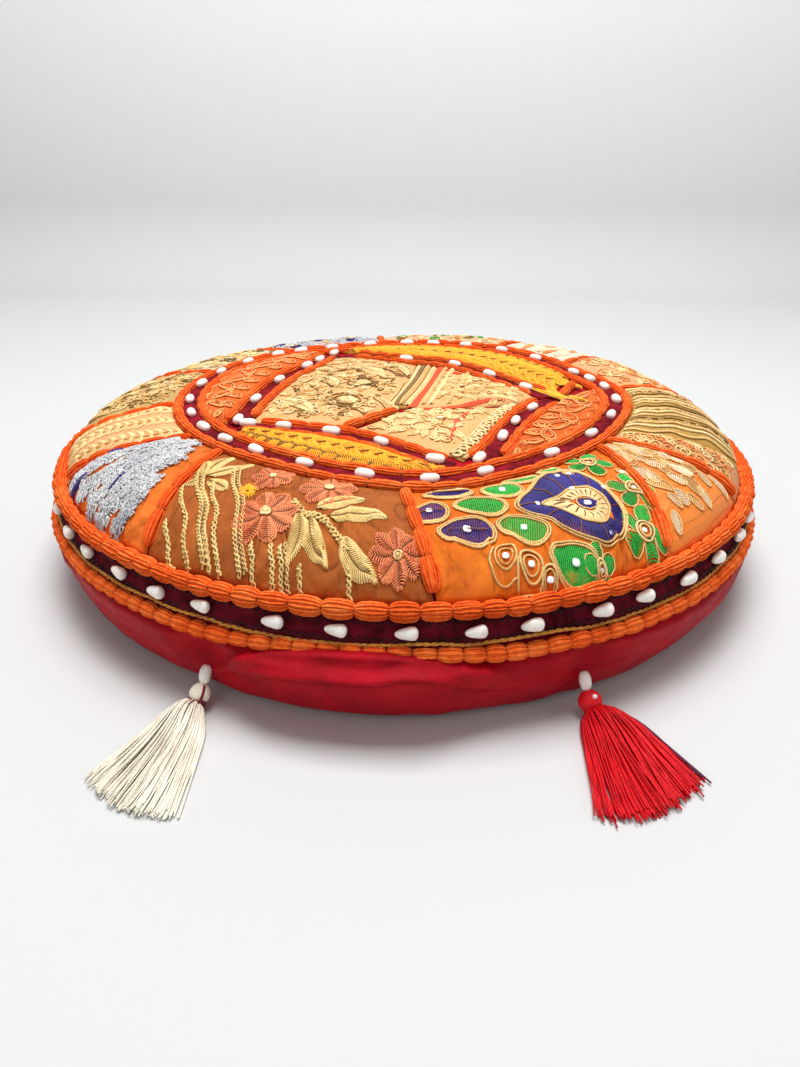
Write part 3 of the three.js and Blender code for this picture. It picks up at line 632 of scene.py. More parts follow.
def noise_at(tree, vector, scale, detail=3.0, roughness=0.5, distortion=0.0):
    return node(tree, "ShaderNodeTexNoise", {
        "Vector": vector, "Scale": scale, "Detail": detail, "Roughness": roughness,
        "Distortion": distortion,
    }).outputs[0]


def bands(tree, vector, scale, direction, distortion):
    return node(tree, "ShaderNodeTexWave", {
        "Vector": vector, "Scale": scale, "Distortion": distortion, "Detail Scale": 1.0,
    }, bands_direction=direction).outputs[1]


def mixed(tree, share, a, b):
    made = node(tree, "ShaderNodeMix", data_type="RGBA")
    for socket, value in ((0, share), (6, a), (7, b)):
        if isinstance(value, bpy.types.NodeSocket):
            tree.links.new(value, made.inputs[socket])
        else:
            made.inputs[socket].default_value = value
    return made.outputs[2]


def bumped(tree, surface, height, distance, strength, before=None):
    made = node(tree, "ShaderNodeBump", {"Height": height, "Distance": distance, "Strength": strength})
    if before is not None:
        tree.links.new(before.outputs[0], made.inputs["Normal"])
    tree.links.new(made.outputs[0], surface.inputs["Normal"])
    return made


def object_place(tree):
    return node(tree, "ShaderNodeTexCoord").outputs["Object"]


def cloth_place(tree):
    return node(tree, "ShaderNodeUVMap", uv_map="cloth").outputs[0]


def weave_height(tree, place, pitch):
    """Height of a plain weave whose threads are `pitch` millimetres apart on the cloth's map."""
    scale = 10.0 / pitch / math.pi
    return plus(tree, bands(tree, place, scale, "X", 0.4), bands(tree, place, scale, "Y", 0.4))


def stretched(tree, place, x=1.0, y=1.0):
    return vector_maths(tree, "MULTIPLY", place, (x, y, 1.0))


def woven(name, light, dark, rough, sheen):
    """Cotton: two tones that drift over the cloth, slubs, folds, creases with painted shade in them, and a
    plain weave.
    """
    material, tree, surface = new_material(
        name, Roughness=rough, Sheen_Weight=sheen * 0.3, Sheen_Roughness=0.4, Specular_IOR_Level=0.25,
        Sheen_Tint=light
    )
    place = cloth_place(tree)
    drift = noise_at(tree, place, 0.6, 4.0, 0.6)
    slub = noise_at(tree, stretched(tree, place, y=9.0), 6.0, 2.0)
    share = plus(tree, times(tree, drift, 0.65), times(tree, slub, 0.35))
    tone = ramp(tree, share, [(0.3, dark), (0.68, light)])
    folds = noise_at(tree, stretched(tree, place, y=0.5), 0.9, 2.0, 0.45, 0.6)
    coarse = bumped(tree, surface, folds, 0.009, 0.85)
    lines = noise_at(tree, stretched(tree, place, y=0.55), 0.5, 1.0, 0.4, 0.3)
    away = maths(tree, "ABSOLUTE", maths(tree, "SUBTRACT", lines, 0.5))
    flat = maths(tree, "MINIMUM", times(tree, away, 22.0), 1.0)
    # painted shade: along narrow crease lines, the valleys of the creased bump below, the tone is drawn 30 %
    # towards the dark tone
    wear_and_crease_shade = plus(tree, times(tree, flat, 0.3), 0.7)
    tree.links.new(mixed(tree, wear_and_crease_shade, dark, tone), surface.inputs["Base Color"])
    creased = bumped(tree, surface, flat, 0.0009, 0.9, coarse)
    bumped(tree, surface, weave_height(tree, place, 0.45), 0.00012, 0.8, creased)
    return material


def brocade(name, ground, figure, deep, scale=1.6, warp=2.2):
    """Woven brocade: curling figures of shiny thread on a ribbed ground."""
    material, tree, surface = new_material(
        name, Roughness=0.55, Sheen_Weight=0.05, Specular_IOR_Level=0.3
    )
    place = cloth_place(tree)
    swirl = node(tree, "ShaderNodeTexNoise", {"Vector": place, "Scale": scale * 0.8, "Detail": 1.0})
    warped = vector_maths(tree, "SCALE", swirl.outputs[1], scale=warp)
    bent = vector_maths(tree, "ADD", place, warped)
    cell = node(tree, "ShaderNodeTexVoronoi", {"Vector": bent, "Scale": scale}, feature="F1").outputs[0]
    curls = node(tree, "ShaderNodeTexWave", {
        "Vector": bent, "Scale": scale * 0.9, "Distortion": 3.0, "Detail": 1.0,
    }, wave_type="RINGS").outputs[1]
    figure_share = ramp(tree, plus(tree, curls, times(tree, cell, 0.5)), [
        (0.52, (0, 0, 0, 1)), (0.62, (1, 1, 1, 1)),
    ])
    rib = bands(tree, place, 10.0 / 0.7 / math.pi, "X", 0.6)
    tone = mixed(tree, figure_share, ground, mixed(tree, rib, figure, deep))
    wear_and_crease_shade = noise_at(tree, place, 3.0, 4.0, 0.65)
    tone = mixed(tree, times(tree, wear_and_crease_shade, 0.45), tone, deep)
    tree.links.new(tone, surface.inputs["Base Color"])
    raised = bumped(tree, surface, figure_share, 0.0005, 0.8)
    bumped(tree, surface, rib, 0.0002, 0.6, raised)
    return material


def toned(name, drifts, stops, grain, **shader):
    """Material whose tone follows a sum of noises, each with its weight, and its fine bump."""
    material, tree, surface = new_material(name, **shader)
    place = object_place(tree)
    fields = [noise_at(tree, place, *drift[1:]) for drift in drifts]
    share = fields[0]
    if len(drifts) > 1:
        share = plus(tree, *(times(tree, field, drift[0]) for field, drift in zip(fields, drifts)))
    tree.links.new(ramp(tree, share, stops), surface.inputs["Base Color"])
    distance, strength, *scale = grain
    height = noise_at(tree, place, *scale, 2.0) if scale else fields[0]
    bumped(tree, surface, height, distance, strength)
    return material


def thread_material(name, light, dark, rough=0.5, metal=0.0, sheen=0.2):
    """Embroidery thread: two tones along its fine twist."""
    return toned(
        name, [(0.6, 900.0, 2.0, 0.6), (0.4, 60.0, 2.0)], [(0.34, dark), (0.62, light)], (0.0002, 0.6),
        Roughness=rough, Metallic=metal, Sheen_Weight=sheen * 0.3, Specular_IOR_Level=0.35)


def wool_material(name, light, middle, dark):
    """Soft wool: tones that change from strand to strand, with a fine halo."""
    return toned(
        name, [(0.62, 420.0, 3.0, 0.65), (0.38, 45.0, 1.0)],
        [(0.3, dark), (0.48, middle), (0.66, light)], (0.0003, 0.7, 1500.0),
        Roughness=0.9, Sheen_Weight=0.25, Sheen_Roughness=0.5, Specular_IOR_Level=0.15, Sheen_Tint=light)


def velvet_material(name, light, dark):
    return toned(
        name, [(1.0, 110.0, 3.0, 0.6)], [(0.35, dark), (0.7, light)], (0.0003, 0.8, 1800.0),
        Roughness=0.95, Sheen_Weight=0.5, Sheen_Roughness=0.35, Specular_IOR_Level=0.1, Sheen_Tint=light)


def satin_red(name, light, dark, sheen):
    """Shiny red cotton with fine creases and a tight weave."""
    material, tree, surface = new_material(
        name, Roughness=0.55, Sheen_Weight=0.05, Sheen_Roughness=0.35, Specular_IOR_Level=0.16,
        Sheen_Tint=sheen
    )
    place = cloth_place(tree)
    tone = ramp(tree, noise_at(tree, place, 0.5, 4.0, 0.6), [(0.3, dark), (0.7, light)])
    tree.links.new(tone, surface.inputs["Base Color"])
    crumple = noise_at(tree, stretched(tree, place, y=0.55), 1.1, 5.0, 0.6, 0.6)
    creased = bumped(tree, surface, crumple, 0.003, 0.5)
    bumped(tree, surface, weave_height(tree, place, 0.4), 0.0001, 0.6, creased)
    return material


def bead_material(name, light, dark, rough=0.16):
    return toned(
        name, [(1.0, 240.0, 3.0)], [(0.3, dark), (0.55, light)], (0.0002, 0.3),
        Roughness=rough, Coat_Weight=0.5, Coat_Roughness=0.08, Subsurface_Weight=0.15,
        Subsurface_Scale=0.002)


def stage_material(name, tone):
    """Plain paper, made paler up the wall by painted light."""
    material, tree, surface = new_material(name, Roughness=0.75, Specular_IOR_Level=0.25)
    place = object_place(tree)
    drift = noise_at(tree, place, 3.0, 2.0)
    shade = ramp(tree, drift, [(0.2, (*(c * 0.985 for c in tone), 1.0)), (0.8, (*tone, 1.0))])
    height = node(tree, "ShaderNodeSeparateXYZ", {0: place}).outputs["Z"]
    # painted light: up to 0.38 m high the paper blends to a tone 1.25 times paler, standing in for light
    # that the lamps don't bring to the wall
    pale = (*(min(1.0, c * 1.25) for c in tone), 1.0)
    painted_wall_light = maths(tree, "MINIMUM", times(tree, height, 2.6), 1.0)
    tree.links.new(mixed(tree, painted_wall_light, shade, pale), surface.inputs["Base Color"])
    return material


# Each finish: what makes it, its colours as they show on a screen, and its own numbers
FINISHES = {
    "red_cloth": (satin_red, (192, 2, 30), (152, 0, 18), (240, 60, 80)),
    "orange_wool": (wool_material, (250, 134, 62), (240, 100, 34), (214, 72, 20)),
    "maroon_velvet": (velvet_material, (122, 22, 42), (62, 6, 16)),
    "ring_velvet": (velvet_material, (150, 28, 40), (84, 8, 18)),
    "gold_cord": (thread_material, (226, 160, 62), (168, 100, 30), 0.45, 0.25),
    "gold_thread": (thread_material, (244, 206, 136), (206, 156, 84), 0.42, 0.1),
    "cream_thread": (thread_material, (252, 226, 168), (228, 186, 118), 0.42),
    "pale_thread": (thread_material, (252, 232, 202), (232, 198, 158), 0.42),
    "straw_thread": (thread_material, (248, 218, 146), (212, 172, 92), 0.42),
    "pink_thread": (thread_material, (244, 152, 98), (204, 92, 48)),
    "brown_thread": (thread_material, (150, 84, 40), (104, 52, 22)),
    "green_thread": (thread_material, (60, 196, 74), (22, 142, 44)),
    "navy_thread": (thread_material, (58, 44, 140), (26, 16, 84)),
    "mustard_thread": (thread_material, (255, 190, 32), (236, 150, 8)),
    "olive_thread": (thread_material, (158, 116, 44), (108, 74, 24)),
    "tan_thread": (thread_material, (246, 170, 96), (228, 132, 62)),
    "silver_thread": (thread_material, (226, 226, 224), (166, 168, 176)),
    "red_thread": (thread_material, (240, 92, 36), (206, 58, 18)),
    "tie_thread": (thread_material, (158, 118, 66), (112, 76, 40), 0.8),
    "black_stitch": (thread_material, (52, 20, 26), (20, 8, 12), 0.7),
    "white_cotton": (thread_material, (254, 250, 236), (234, 224, 202), 0.75, 0.0, 0.4),
    "red_silk": (thread_material, (234, 6, 26), (180, 0, 14), 0.5, 0.0, 0.05),
    "purple_silk": (thread_material, (96, 18, 62), (58, 8, 38)),
    "maroon_thread": (thread_material, (150, 20, 44), (98, 8, 26)),
    "milk_glass": (bead_material, (250, 246, 240), (232, 224, 212)),
    "mirror_white": (bead_material, (250, 250, 250), (225, 228, 235), 0.08),
    "rust_cotton": (woven, (200, 108, 36), (146, 68, 16), 0.6, 0.4),
    "orange_cotton": (woven, (250, 136, 22), (218, 92, 8), 0.5, 0.3),
    "orange_plain": (woven, (246, 120, 40), (228, 92, 22), 0.7, 0.3),
    "yellow_ground": (woven, (248, 152, 18), (226, 120, 8), 0.6, 0.3),
    "pale_orange": (woven, (246, 130, 40), (222, 100, 24), 0.7, 0.3),
    "blotch_orange": (brocade, (240, 130, 36), (246, 158, 66), (220, 108, 24), 0.55, 1.6),
    "scroll_peach": (brocade, (226, 150, 92), (238, 188, 128), (186, 108, 56), 1.9),
    "striped_olive": (brocade, (202, 156, 66), (228, 188, 104), (150, 110, 40), 1.3),
    "peach_cream": (brocade, (236, 166, 106), (244, 208, 158), (214, 132, 74), 1.1),
    "cream_right": (brocade, (236, 214, 186), (250, 242, 228), (222, 184, 146), 1.0),
    "green_cream": (brocade, (238, 212, 176), (166, 180, 128), (226, 150, 96), 0.9),
    "grey_navy": (brocade, (214, 208, 200), (190, 188, 190), (150, 146, 158), 1.6, 1.2),
    "pale_olive": (brocade, (226, 216, 182), (246, 240, 222), (170, 156, 96), 0.9),
    "gold_olive": (brocade, (208, 164, 86), (236, 206, 138), (158, 118, 50), 1.2),
    "wheat_peach": (brocade, (246, 176, 110), (250, 208, 150), (232, 146, 84), 1.4),
    "cream_gold": (brocade, (246, 180, 116), (248, 214, 150), (216, 150, 80), 1.3),
    "olive_gold": (brocade, (196, 138, 42), (224, 180, 88), (132, 88, 22), 1.4),
}
MATERIALS = {}


def made_material(name):
    """One of the finishes, made when it is first asked for."""
    if name not in MATERIALS:
        maker, *values = FINISHES[name]
        MATERIALS[name] = maker(name, *(colour(*v) if isinstance(v, tuple) else v for v in values))
    return MATERIALS[name]


# Finishing a piece

def finished(piece, slot, replaces=(), finish=None):
    """What every piece gets: its material, its body and the nodes it stands for, which are hidden. The slot
    is not used.
    """
    if finish is not None:
        piece.data.materials.clear()
        piece.data.materials.append(made_material(finish))
    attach(piece, "root")
    if replaces:
        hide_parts(*replaces)
    return piece


def threads(name, lines, finish, slot, radius, sides, replaces=(), closed=False):
    """Piece of threads along lines; the radius is in millimetres."""
    seed = seed_lines(name, lines, closed)
    piece = grown(name, seed, "thread", finish, Radius=radius * MM, Sides=sides)
    return finished(piece, slot, replaces)


# Red cloth of the body

FOLD = {
    "azimuth": 264.5, "half_width": 19.5, "out": 8.2, "roll": 3.2, "left": 0.32,
    # azimuth and height of the fold's upper edge, and of the crease under it
    "edge": ((245, 17), (247.4, 23), (250, 32), (254, 37.5), (260, 40.4), (266, 41.4), (270, 40.4),
             (274, 38.2), (278, 35.4), (283, 31)),
    "crease": ((246, 15), (250, 22), (254, 25.5), (260, 27.5), (267, 28), (270.6, 30.6), (274, 27.5),
               (279, 22), (284, 18)),
}


def hump(distance, reach):
    share = np.clip(np.abs(distance) / reach, 0, 1)
    return np.cos(np.pi / 2 * share) ** 2


def angle_between(a, b):
    return np.abs(np.mod(a - b + 540, 360) - 180)


def base_points(azimuths, outline):
    """Points of the cloth below the upper seam, with its gathers, fold and dents."""
    radius, height = outline[:, :1], outline[:, 1:]
    azimuth = azimuths[None, :]
    units_round, seam = 140, 36.5  # a unit is about 9 mm of the way round
    arc = azimuth / 360 * units_round
    below = np.clip((seam - height) / seam, 0, 1)
    shown = hump(height - 22, 17)

    def field(pitch, drift, seed, start=0.0):
        """Noise round the cushion that closes on itself; pitch and drift are bumps for each unit."""
        return noise(np.mod(arc * pitch + below * start, units_round * pitch), below * drift, seed)

    # gathers hang from the seam, and long soft folds run towards the underside
    near_seam = np.exp(-np.clip(35 - height, 0, 40) / 7.0) * (height < seam)
    gathers = field(1.1, 1.6, 5) + 1.4 * noise(np.mod(arc * 0.45, 63), below * 1.2 + 3, 9)
    out = near_seam * gathers * 1.1
    out += shown * (field(0.28, 2.2, 21) * 1.9 + field(0.6, 6.0, 33, 4) * 0.8)
    out -= 1.5 * shown * (1 - np.abs(field(0.42, 3.4, 57))) ** 7
    out += hump(height - 2, 9) * field(0.9, 2.0, 41) * 1.1
    # the loose fold at the front, its lip over the lower wool row
    fold = hump(angle_between(azimuth, FOLD["azimuth"]), FOLD["half_width"]) ** 0.45
    edge_height, crease_height = (
        follow(FOLD[line], np.clip(azimuths, FOLD[line][0][0], FOLD[line][-1][0]))[None, :]
        for line in ("edge", "crease"))
    depth, over_crease = edge_height - height, height - crease_height
    fall = np.clip(depth - 5, 0, 60) / 9.0
    lip = np.sin(np.pi / 2 * np.clip(depth / FOLD["roll"], 0, 1)) * (height < 46)
    lip *= FOLD["left"] + (1 - FOLD["left"]) * np.exp(-fall * fall)
    out = out * (1 - 0.5 * fold) + fold * FOLD["out"] * lip
    ledge = 3.4 * np.exp(-((over_crease - 2.2) / 1.9) ** 2)
    ledge -= 3.0 * np.exp(-((over_crease + 0.8) / 1.4) ** 2)
    out += ledge * hump(angle_between(azimuth, 265), 21) ** 0.4
    # dents where the tassels are sewn on, with a crease up to the seam
    for tassel in TASSELS.values():
        away = angle_between(azimuth, tassel["azimuth"])
        out -= 4.0 * hump(away, 6.5) * hump(height - 27, 12)
        out -= 1.6 * np.exp(-(away / 1.3) ** 2) * hump(height - 26, 13)
    radius = radius + out * np.clip(height / 2.0, 0, 1)
    lift = 3.0 * fold * lip * np.clip((height - 14) / 12, 0, 1)
    return np.concatenate([polar(azimuth, radius), (height + lift)[..., None]], -1)


def build_body():
    around, down, over, map_radius = 520, 84, 8, 19.5
    azimuths = np.linspace(0, 360, around, endpoint=False)
    top = []
    for share in np.linspace(0, 1, over + 1)[1:]:
        plan = polar(azimuths, share ** 0.7 * EDGE[0][0])
        top.append(at_height(plan, crown_height(*plan.T)))
    skirt = base_points(azimuths, PlanCurve(EDGE).at(np.linspace(0, 1, down)))
    rows = np.concatenate([np.array(top), skirt[1:]])
    faces = grid_faces(len(rows), around, wrap_columns=True)[:, ::-1].tolist()
    crown_point, last = len(rows) * around, (len(rows) - 1) * around
    for j in range(around):
        k = (j + 1) % around
        faces.append([crown_point, j, k])
        faces.append([crown_point + 1, last + k, last + j])
    points = np.concatenate([rows.reshape(-1, 3), [[0, 0, CROWN[0][1]], [0, 0, 0]]])
    length = length_along(rows[:, 0]) / 10
    round_it = np.radians(np.abs(azimuths - 180)) * map_radius
    uv = np.stack(np.broadcast_arrays(round_it[None, :], length[:, None]), -1).reshape(-1, 2)
    uv = np.concatenate([uv, [[0, 0], [0, length[-1]]]])
    piece = link("red_body", mesh_of("red_body", points, faces, uv))
    finished(piece, "red_cloth", ["cushion_body"], "red_cloth")


# Patches

def coons(edges, us, vs):
    """Plan points of a patch between its left, right, start and end lines."""
    left, right, start, end = edges
    low, high, first, last = left(vs), right(vs), start(us), end(us)
    u, v = us[None, :, None], vs[:, None, None]
    rails = (1 - u) * low[:, None] + u * high[:, None] + (1 - v) * first[None] + v * last[None]
    corners = (1 - v) * ((1 - u) * low[0] + u * high[0]) + v * ((1 - u) * low[-1] + u * high[-1])
    return rails - corners


PATCH_TOPS = []
PATCH_GRIDS = {}


def patch_piece(name, edges, finish, slot, seed, crumple=1.0):
    """Puffed patch, drawn in and puckered along its seams, as a closed sheet."""
    rough = coons(edges, *[np.linspace(0, 1, 9)] * 2)
    width = max(np.linalg.norm(rough[:, -1] - rough[:, 0], axis=-1).mean(), length_along(rough[4])[-1])
    length = np.linalg.norm(rough[-1] - rough[0], axis=-1).mean()
    us, vs = (np.linspace(0, 1, max(8, int(size / PATCH["step"])) + 1) for size in (width, length))
    plan = coons(edges, us, vs)
    u, v = np.broadcast_arrays(us[None, :], vs[:, None])

    def full(t, size):
        drawn = np.clip(np.minimum(t, 1 - t) * size / PATCH["shoulder"], 0, 1)
        return 0.72 * np.sin(np.pi / 2 * drawn) + 0.28 * (1 - (2 * t - 1) ** 4)

    rise = full(u, width) * full(v, length)
    across, along = u * width, v * length
    from_side, from_end = np.minimum(u, 1 - u) * width, np.minimum(v, 1 - v) * length
    pucker = noise(plan[..., 0] / 3.2 + 40, plan[..., 1] / 3.2, seed)
    ridge = noise(along / 4.2, np.round(u) + 0.5, seed + 3) * np.exp(-from_side / 6.0)
    ridge += noise(across / 4.6, np.round(v) + 9.5, seed + 5) * np.exp(-from_end / 6.0)
    gather = 1 - np.abs(noise(across / 11.0, np.round(v) + 4.5, seed + 8))
    ridge -= 1.1 * gather ** 5 * np.exp(-from_end / 11.0)
    sag = noise(plan[..., 0] / 26, plan[..., 1] / 26, seed + 11)
    crease = 1 - np.abs(noise(across / 15, along / 40, seed + 17))
    pleat = 1 - np.abs(noise(across / 7.5 + v * 1.5, along / 55, seed + 23))
    relief = 1.15 * ridge + 0.12 * pucker + 0.7 * sag + 0.6 * crease ** 6 - 0.15
    relief += max(crumple - 1, 0) * (2.6 * pleat ** 3 - 1.0) * np.clip(along / 30 - 0.4, 0, 1)
    lift = PATCH["edge"] + PATCH["puff"] * rise + min(crumple, 1.3) * rise * relief
    upper = on_crown(plan, np.maximum(lift, 0.35))
    lower = on_crown(plan, -0.25)
    # the map runs along the cloth itself, in centimetres
    steps = [np.linalg.norm(np.diff(upper, axis=axis), axis=-1).mean(1 - axis) for axis in (1, 0)]
    map_u, map_v = (np.concatenate([[0], np.cumsum(run)]) / 10 for run in steps)
    uv = np.stack(np.broadcast_arrays(map_u[None, :], map_v[:, None]), -1).reshape(-1, 2)
    piece = link(f"{name}_cloth", sheet_mesh(name, lower, upper, uv))
    finished(piece, slot, [name], finish)
    PATCH_TOPS.append((upper.reshape(-1, 3), grid_faces(*plan.shape[:2])))
    PATCH_GRIDS[name] = coons(edges, *[np.linspace(0, 1, 33)] * 2)
    a, b = upper[1:, :-1] - upper[:-1, :-1], upper[:-1, 1:] - upper[:-1, :-1]
    area = np.linalg.norm(np.cross(a, b), axis=-1).sum() * MM * MM
    flat = (round(float(map_u[-1]) / 100, 3), round(float(map_v[-1]) / 100, 3))
    area = min(float(area), flat[0] * flat[1])


def arc_between(first, second, radius_at):
    """Line from one plan point round to another, counter-clockwise, at a radius for each azimuth."""
    low, high = (math.degrees(math.atan2(y, x)) for x, y in (first, second))
    high += 360 * math.ceil((low - high) / 360)

    def line(t):
        azimuth = low + (high - low) * t
        return polar(azimuth, radius_at(azimuth))
    return line


def build_outer_patches():
    seams = [*SEAMS, ("front", SEAMS[0][1] + 360, SEAMS[0][2] + 360)]
    trim = ROW_OFFSET["ring"] + ROW["width"] / 2
    for i, (name, finish, slot) in enumerate(OUTER_PATCHES):
        sides = []
        for seam, sign in ((seams[i], 1), (seams[i + 1], -1)):
            tuck = PATCH_TUCK["plain" if seam[0] == "plain" else "spoke"]
            sides.append(seam_line(seam, aside=sign * tuck))
        inner, outer = ([side(np.array([t]))[0] for side in sides] for t in (0.0, 1.0))
        start = arc_between(*inner, lambda azimuth: ring_radius(azimuth) + trim)
        end = arc_between(*outer, lambda azimuth: PATCH["rim_radius"])
        crumple = 1.7 if finish.endswith("cotton") else 1.0
        patch_piece(f"patch_{name}", (*sides, start, end), finish, slot, 100 + 7 * i, crumple)


def build_segments():
    for i, (name, finish, slot, side, along, arc) in enumerate(SEGMENTS):
        inner = SIDE_CURVES[side].beside(PATCH_TUCK["side"], *along)
        outer = round_ring(-PATCH_TUCK["ring"], *arc)
        ends = [straight(outer(t), inner(t)) for t in (0.0, 1.0)]
        patch_piece(f"segment_{name}", (outer, inner, *ends), finish, slot, 300 + 7 * i)


def edge_line(edge):
    if edge[0] == "line":
        return PlanCurve(edge[1:]).at
    _, side, inset, start, end = edge
    return SIDE_CURVES[side].beside(-PATCH_TUCK["side"] - inset, start, end)


def build_centre():
    for i, (name, finish, slot, left, right, *ends) in enumerate(CENTRE_PATCHES):
        left, right = edge_line(left), edge_line(right)
        ends = [edge_line(end) if end else straight(left(t), right(t)) for end, t in zip(ends, (0.0, 1.0))]
        patch_piece(f"centre_{name}", (left, right, *ends), finish, slot, 500 + 7 * i, crumple=0.8)


# Wool rows

def wool_line(place_at, side_at, up_at, length, row, rng, ring=False, growth=0.0):
    """One row as a line of points with its swell, and the ties that draw it in."""
    def grown_by(t):
        return 1 - growth / 4 + growth * t ** 1.5

    count = max(2, round(length / row["puff"]))
    ties = np.concatenate([[0], np.cumsum(rng.uniform(0.82, 1.18, count))])
    ties /= ties[-1]
    phases = (0, 0.06, 0.2, 0.5, 0.8, 0.94)
    phase = np.tile(phases, count)
    start, end, fat = (np.repeat(values, len(phases))
                       for values in (ties[:-1], ties[1:], rng.uniform(0.9, 1.1, count)))
    t = start + (end - start) * phase
    if not ring:
        t, phase, fat = np.append(t, 1.0), np.append(phase, 0.0), np.append(fat, 1.0)
    full = (1 - np.abs(2 * phase - 1) ** 2.6) ** 0.5
    swell = (row["waist"] + (fat - row["waist"]) * full) * grown_by(t)
    line = {
        "points": place_at(t), "side": side_at(t) * row["width"] / 2 * MM,
        "up": up_at(t) * row["height"] / 2 * MM, "swell": swell, "thick": 0.8 + 0.2 * swell,
    }
    angle = np.radians(np.linspace(-25, 205, 7))
    loops = []
    for place in ties[:-1] if ring else ties[1:-1]:
        here, reach = np.array([place]), row["waist"] * 0.56 * grown_by(place)
        loop = place_at(here) + np.outer(np.cos(angle) * reach * row["width"], side_at(here))
        loops.append(thread_line(loop + np.outer(np.sin(angle) * reach * row["height"], up_at(here))))
    return line, loops


def crown_row(line, rng, ring=False, growth=0.0):
    """A row of the crown along a plan line, its puffs larger towards the end by `growth`."""
    def place(t):
        return on_crown(line(t), ROW["height"] / 2 - ROW["sunk"])

    def side(t):
        flat, above = at_height(turned_left(heading(line, t, ring)), 0.0), up(t)
        return unit(flat - above * (flat * above).sum(1, keepdims=True))

    def up(t):
        return crown_normal(*line(t).T)

    length = length_along(line(np.linspace(0, 1, 200)))[-1]
    return wool_line(place, side, up, length, ROW, rng, ring, growth)


def rim_row(row, rng):
    """A row round the rim, a little uneven in height, tucked in under the loose fold."""
    def place(t):
        fold = row["tuck"] * hump(angle_between(t * 360, FOLD["azimuth"]), FOLD["half_width"])
        waver = 0.6 * noise(np.mod(t * 52, 52), 0 * t + 0.5, 61)
        return at_height(polar(t * 360, row["radius"] - fold), row["height"] + waver + fold)

    def side(t):
        return at_height(polar(t * 360, 1.0), 0.0)

    def up(t):
        return np.tile([0.0, 0.0, 1.0], (len(t), 1))

    shape = {**row, "width": row["depth"], "height": row["width"]}
    return wool_line(place, side, up, 2 * math.pi * row["radius"], shape, rng, ring=True)


def wool_piece(name, rows, strands, radius, replaces, closed=False):
    seed = seed_lines(name, [row[0] for row in rows], closed)
    piece = grown(name, seed, "wool", "orange_wool", Strands=strands, Strand_Radius=radius)
    finished(piece, "yarn", replaces)


def build_wool(sizes):
    rng = np.random.default_rng(11)
    strands, radius = sizes.wool_strands, sizes.wool_strand_radius
    rings = [crown_row(round_ring(sign * ROW_OFFSET["ring"]), rng, True) for sign in (1, -1)]
    for name, row in zip(("ring_row_outer", "ring_row_inner"), rings):
        wool_piece(f"{name}_wool", [row], strands, radius, [name], closed=True)
    sides, nodes = [], []
    for side, curve in SIDE_CURVES.items():
        for place, offset in (("outer", ROW_OFFSET["side"]), ("inner", -ROW_OFFSET["side"])):
            sides.append(crown_row(curve.beside(offset, *SIDE_ENDS[side][place]), rng))
            nodes.append(f"{side}_row_{place}")
    sides.append(crown_row(straight(*CORNER_ROW), rng))
    sides.append(crown_row(PlanCurve(CENTRE_ROW).at, rng))
    wool_piece("square_rows_wool", sides, strands, radius, [*nodes, "corner_row", "centre_row"])
    seams = [seam for seam in SEAMS if seam[0] != "plain"]
    spokes = [crown_row(seam_line(seam, SPOKE_END), rng, growth=0.5) for seam in seams]
    wool_piece("spoke_rows_wool", spokes, strands, radius, [f"spoke_row_{seam[0]}" for seam in seams])
    rims = [rim_row(row, rng) for row in RIM_ROWS.values()]
    for (place, row), laid in zip(RIM_ROWS.items(), rims):
        count, thick = strands + row["strands"], radius * row["strand"]
        wool_piece(f"rim_row_{place}_wool", [laid], count, thick, [f"rim_row_{place}"], True)
    ties = [tie for row in (*rings, *sides, *spokes, *rims) for tie in row[1]]
    threads("couching_ties", ties, "tie_thread", "yarn", 0.54, 3)


# Ribbons and band

def closed_strip(surface, shares):
    """Sections of a strip from its upper and its lower surface, given for each share across it."""
    rows = [surface(share, True) for share in shares]
    rows += [surface(share, False) for share in shares[::-1]]
    return np.stack(rows, 1)


def ribbon_mesh(name, line, width, count, ring, seed):
    t = np.linspace(0, 1, count, endpoint=not ring)
    plan, left = line(t), turned_left(heading(line, t, ring))

    def surface(share, upper):
        height = 0 * t - 0.2
        if upper:
            ripple = 0.22 * noise(t * count / 9.0, 0 * t + share * 1.4 + 7, seed)
            height = 1.15 + 0.45 * (1 - share**2) + ripple
        if abs(share) == 1:
            height *= 0.55
        return on_crown(plan + left * (share * width / 2), height)

    shares = np.array([-1, -0.94, -0.7, -0.35, 0, 0.35, 0.7, 0.94, 1])
    return tube_mesh(name, closed_strip(surface, shares), ring=ring)


def build_ribbons():
    pieces = [("ring_ribbon", round_ring(0.0), RIBBON["ring"], 420, True)]
    for side, curve in SIDE_CURVES.items():
        line = curve.beside(0.0, *SIDE_ENDS[side]["ribbon"])
        pieces.append((f"{side}_ribbon", line, RIBBON["side"], 90, False))
    for i, (name, line, width, count, ring) in enumerate(pieces):
        piece = link(f"{name}_velvet", ribbon_mesh(name, line, width, count, ring, 700 + i))
        finished(piece, "velvet", [name], "ring_velvet")
        length = float(length_along(line(np.linspace(0, 1, 300)))[-1])


def wall_radius(height):
    table = sorted((h, r) for r, h in EDGE[:6])
    return np.interp(height, [h for h, _ in table], [r for _, r in table])


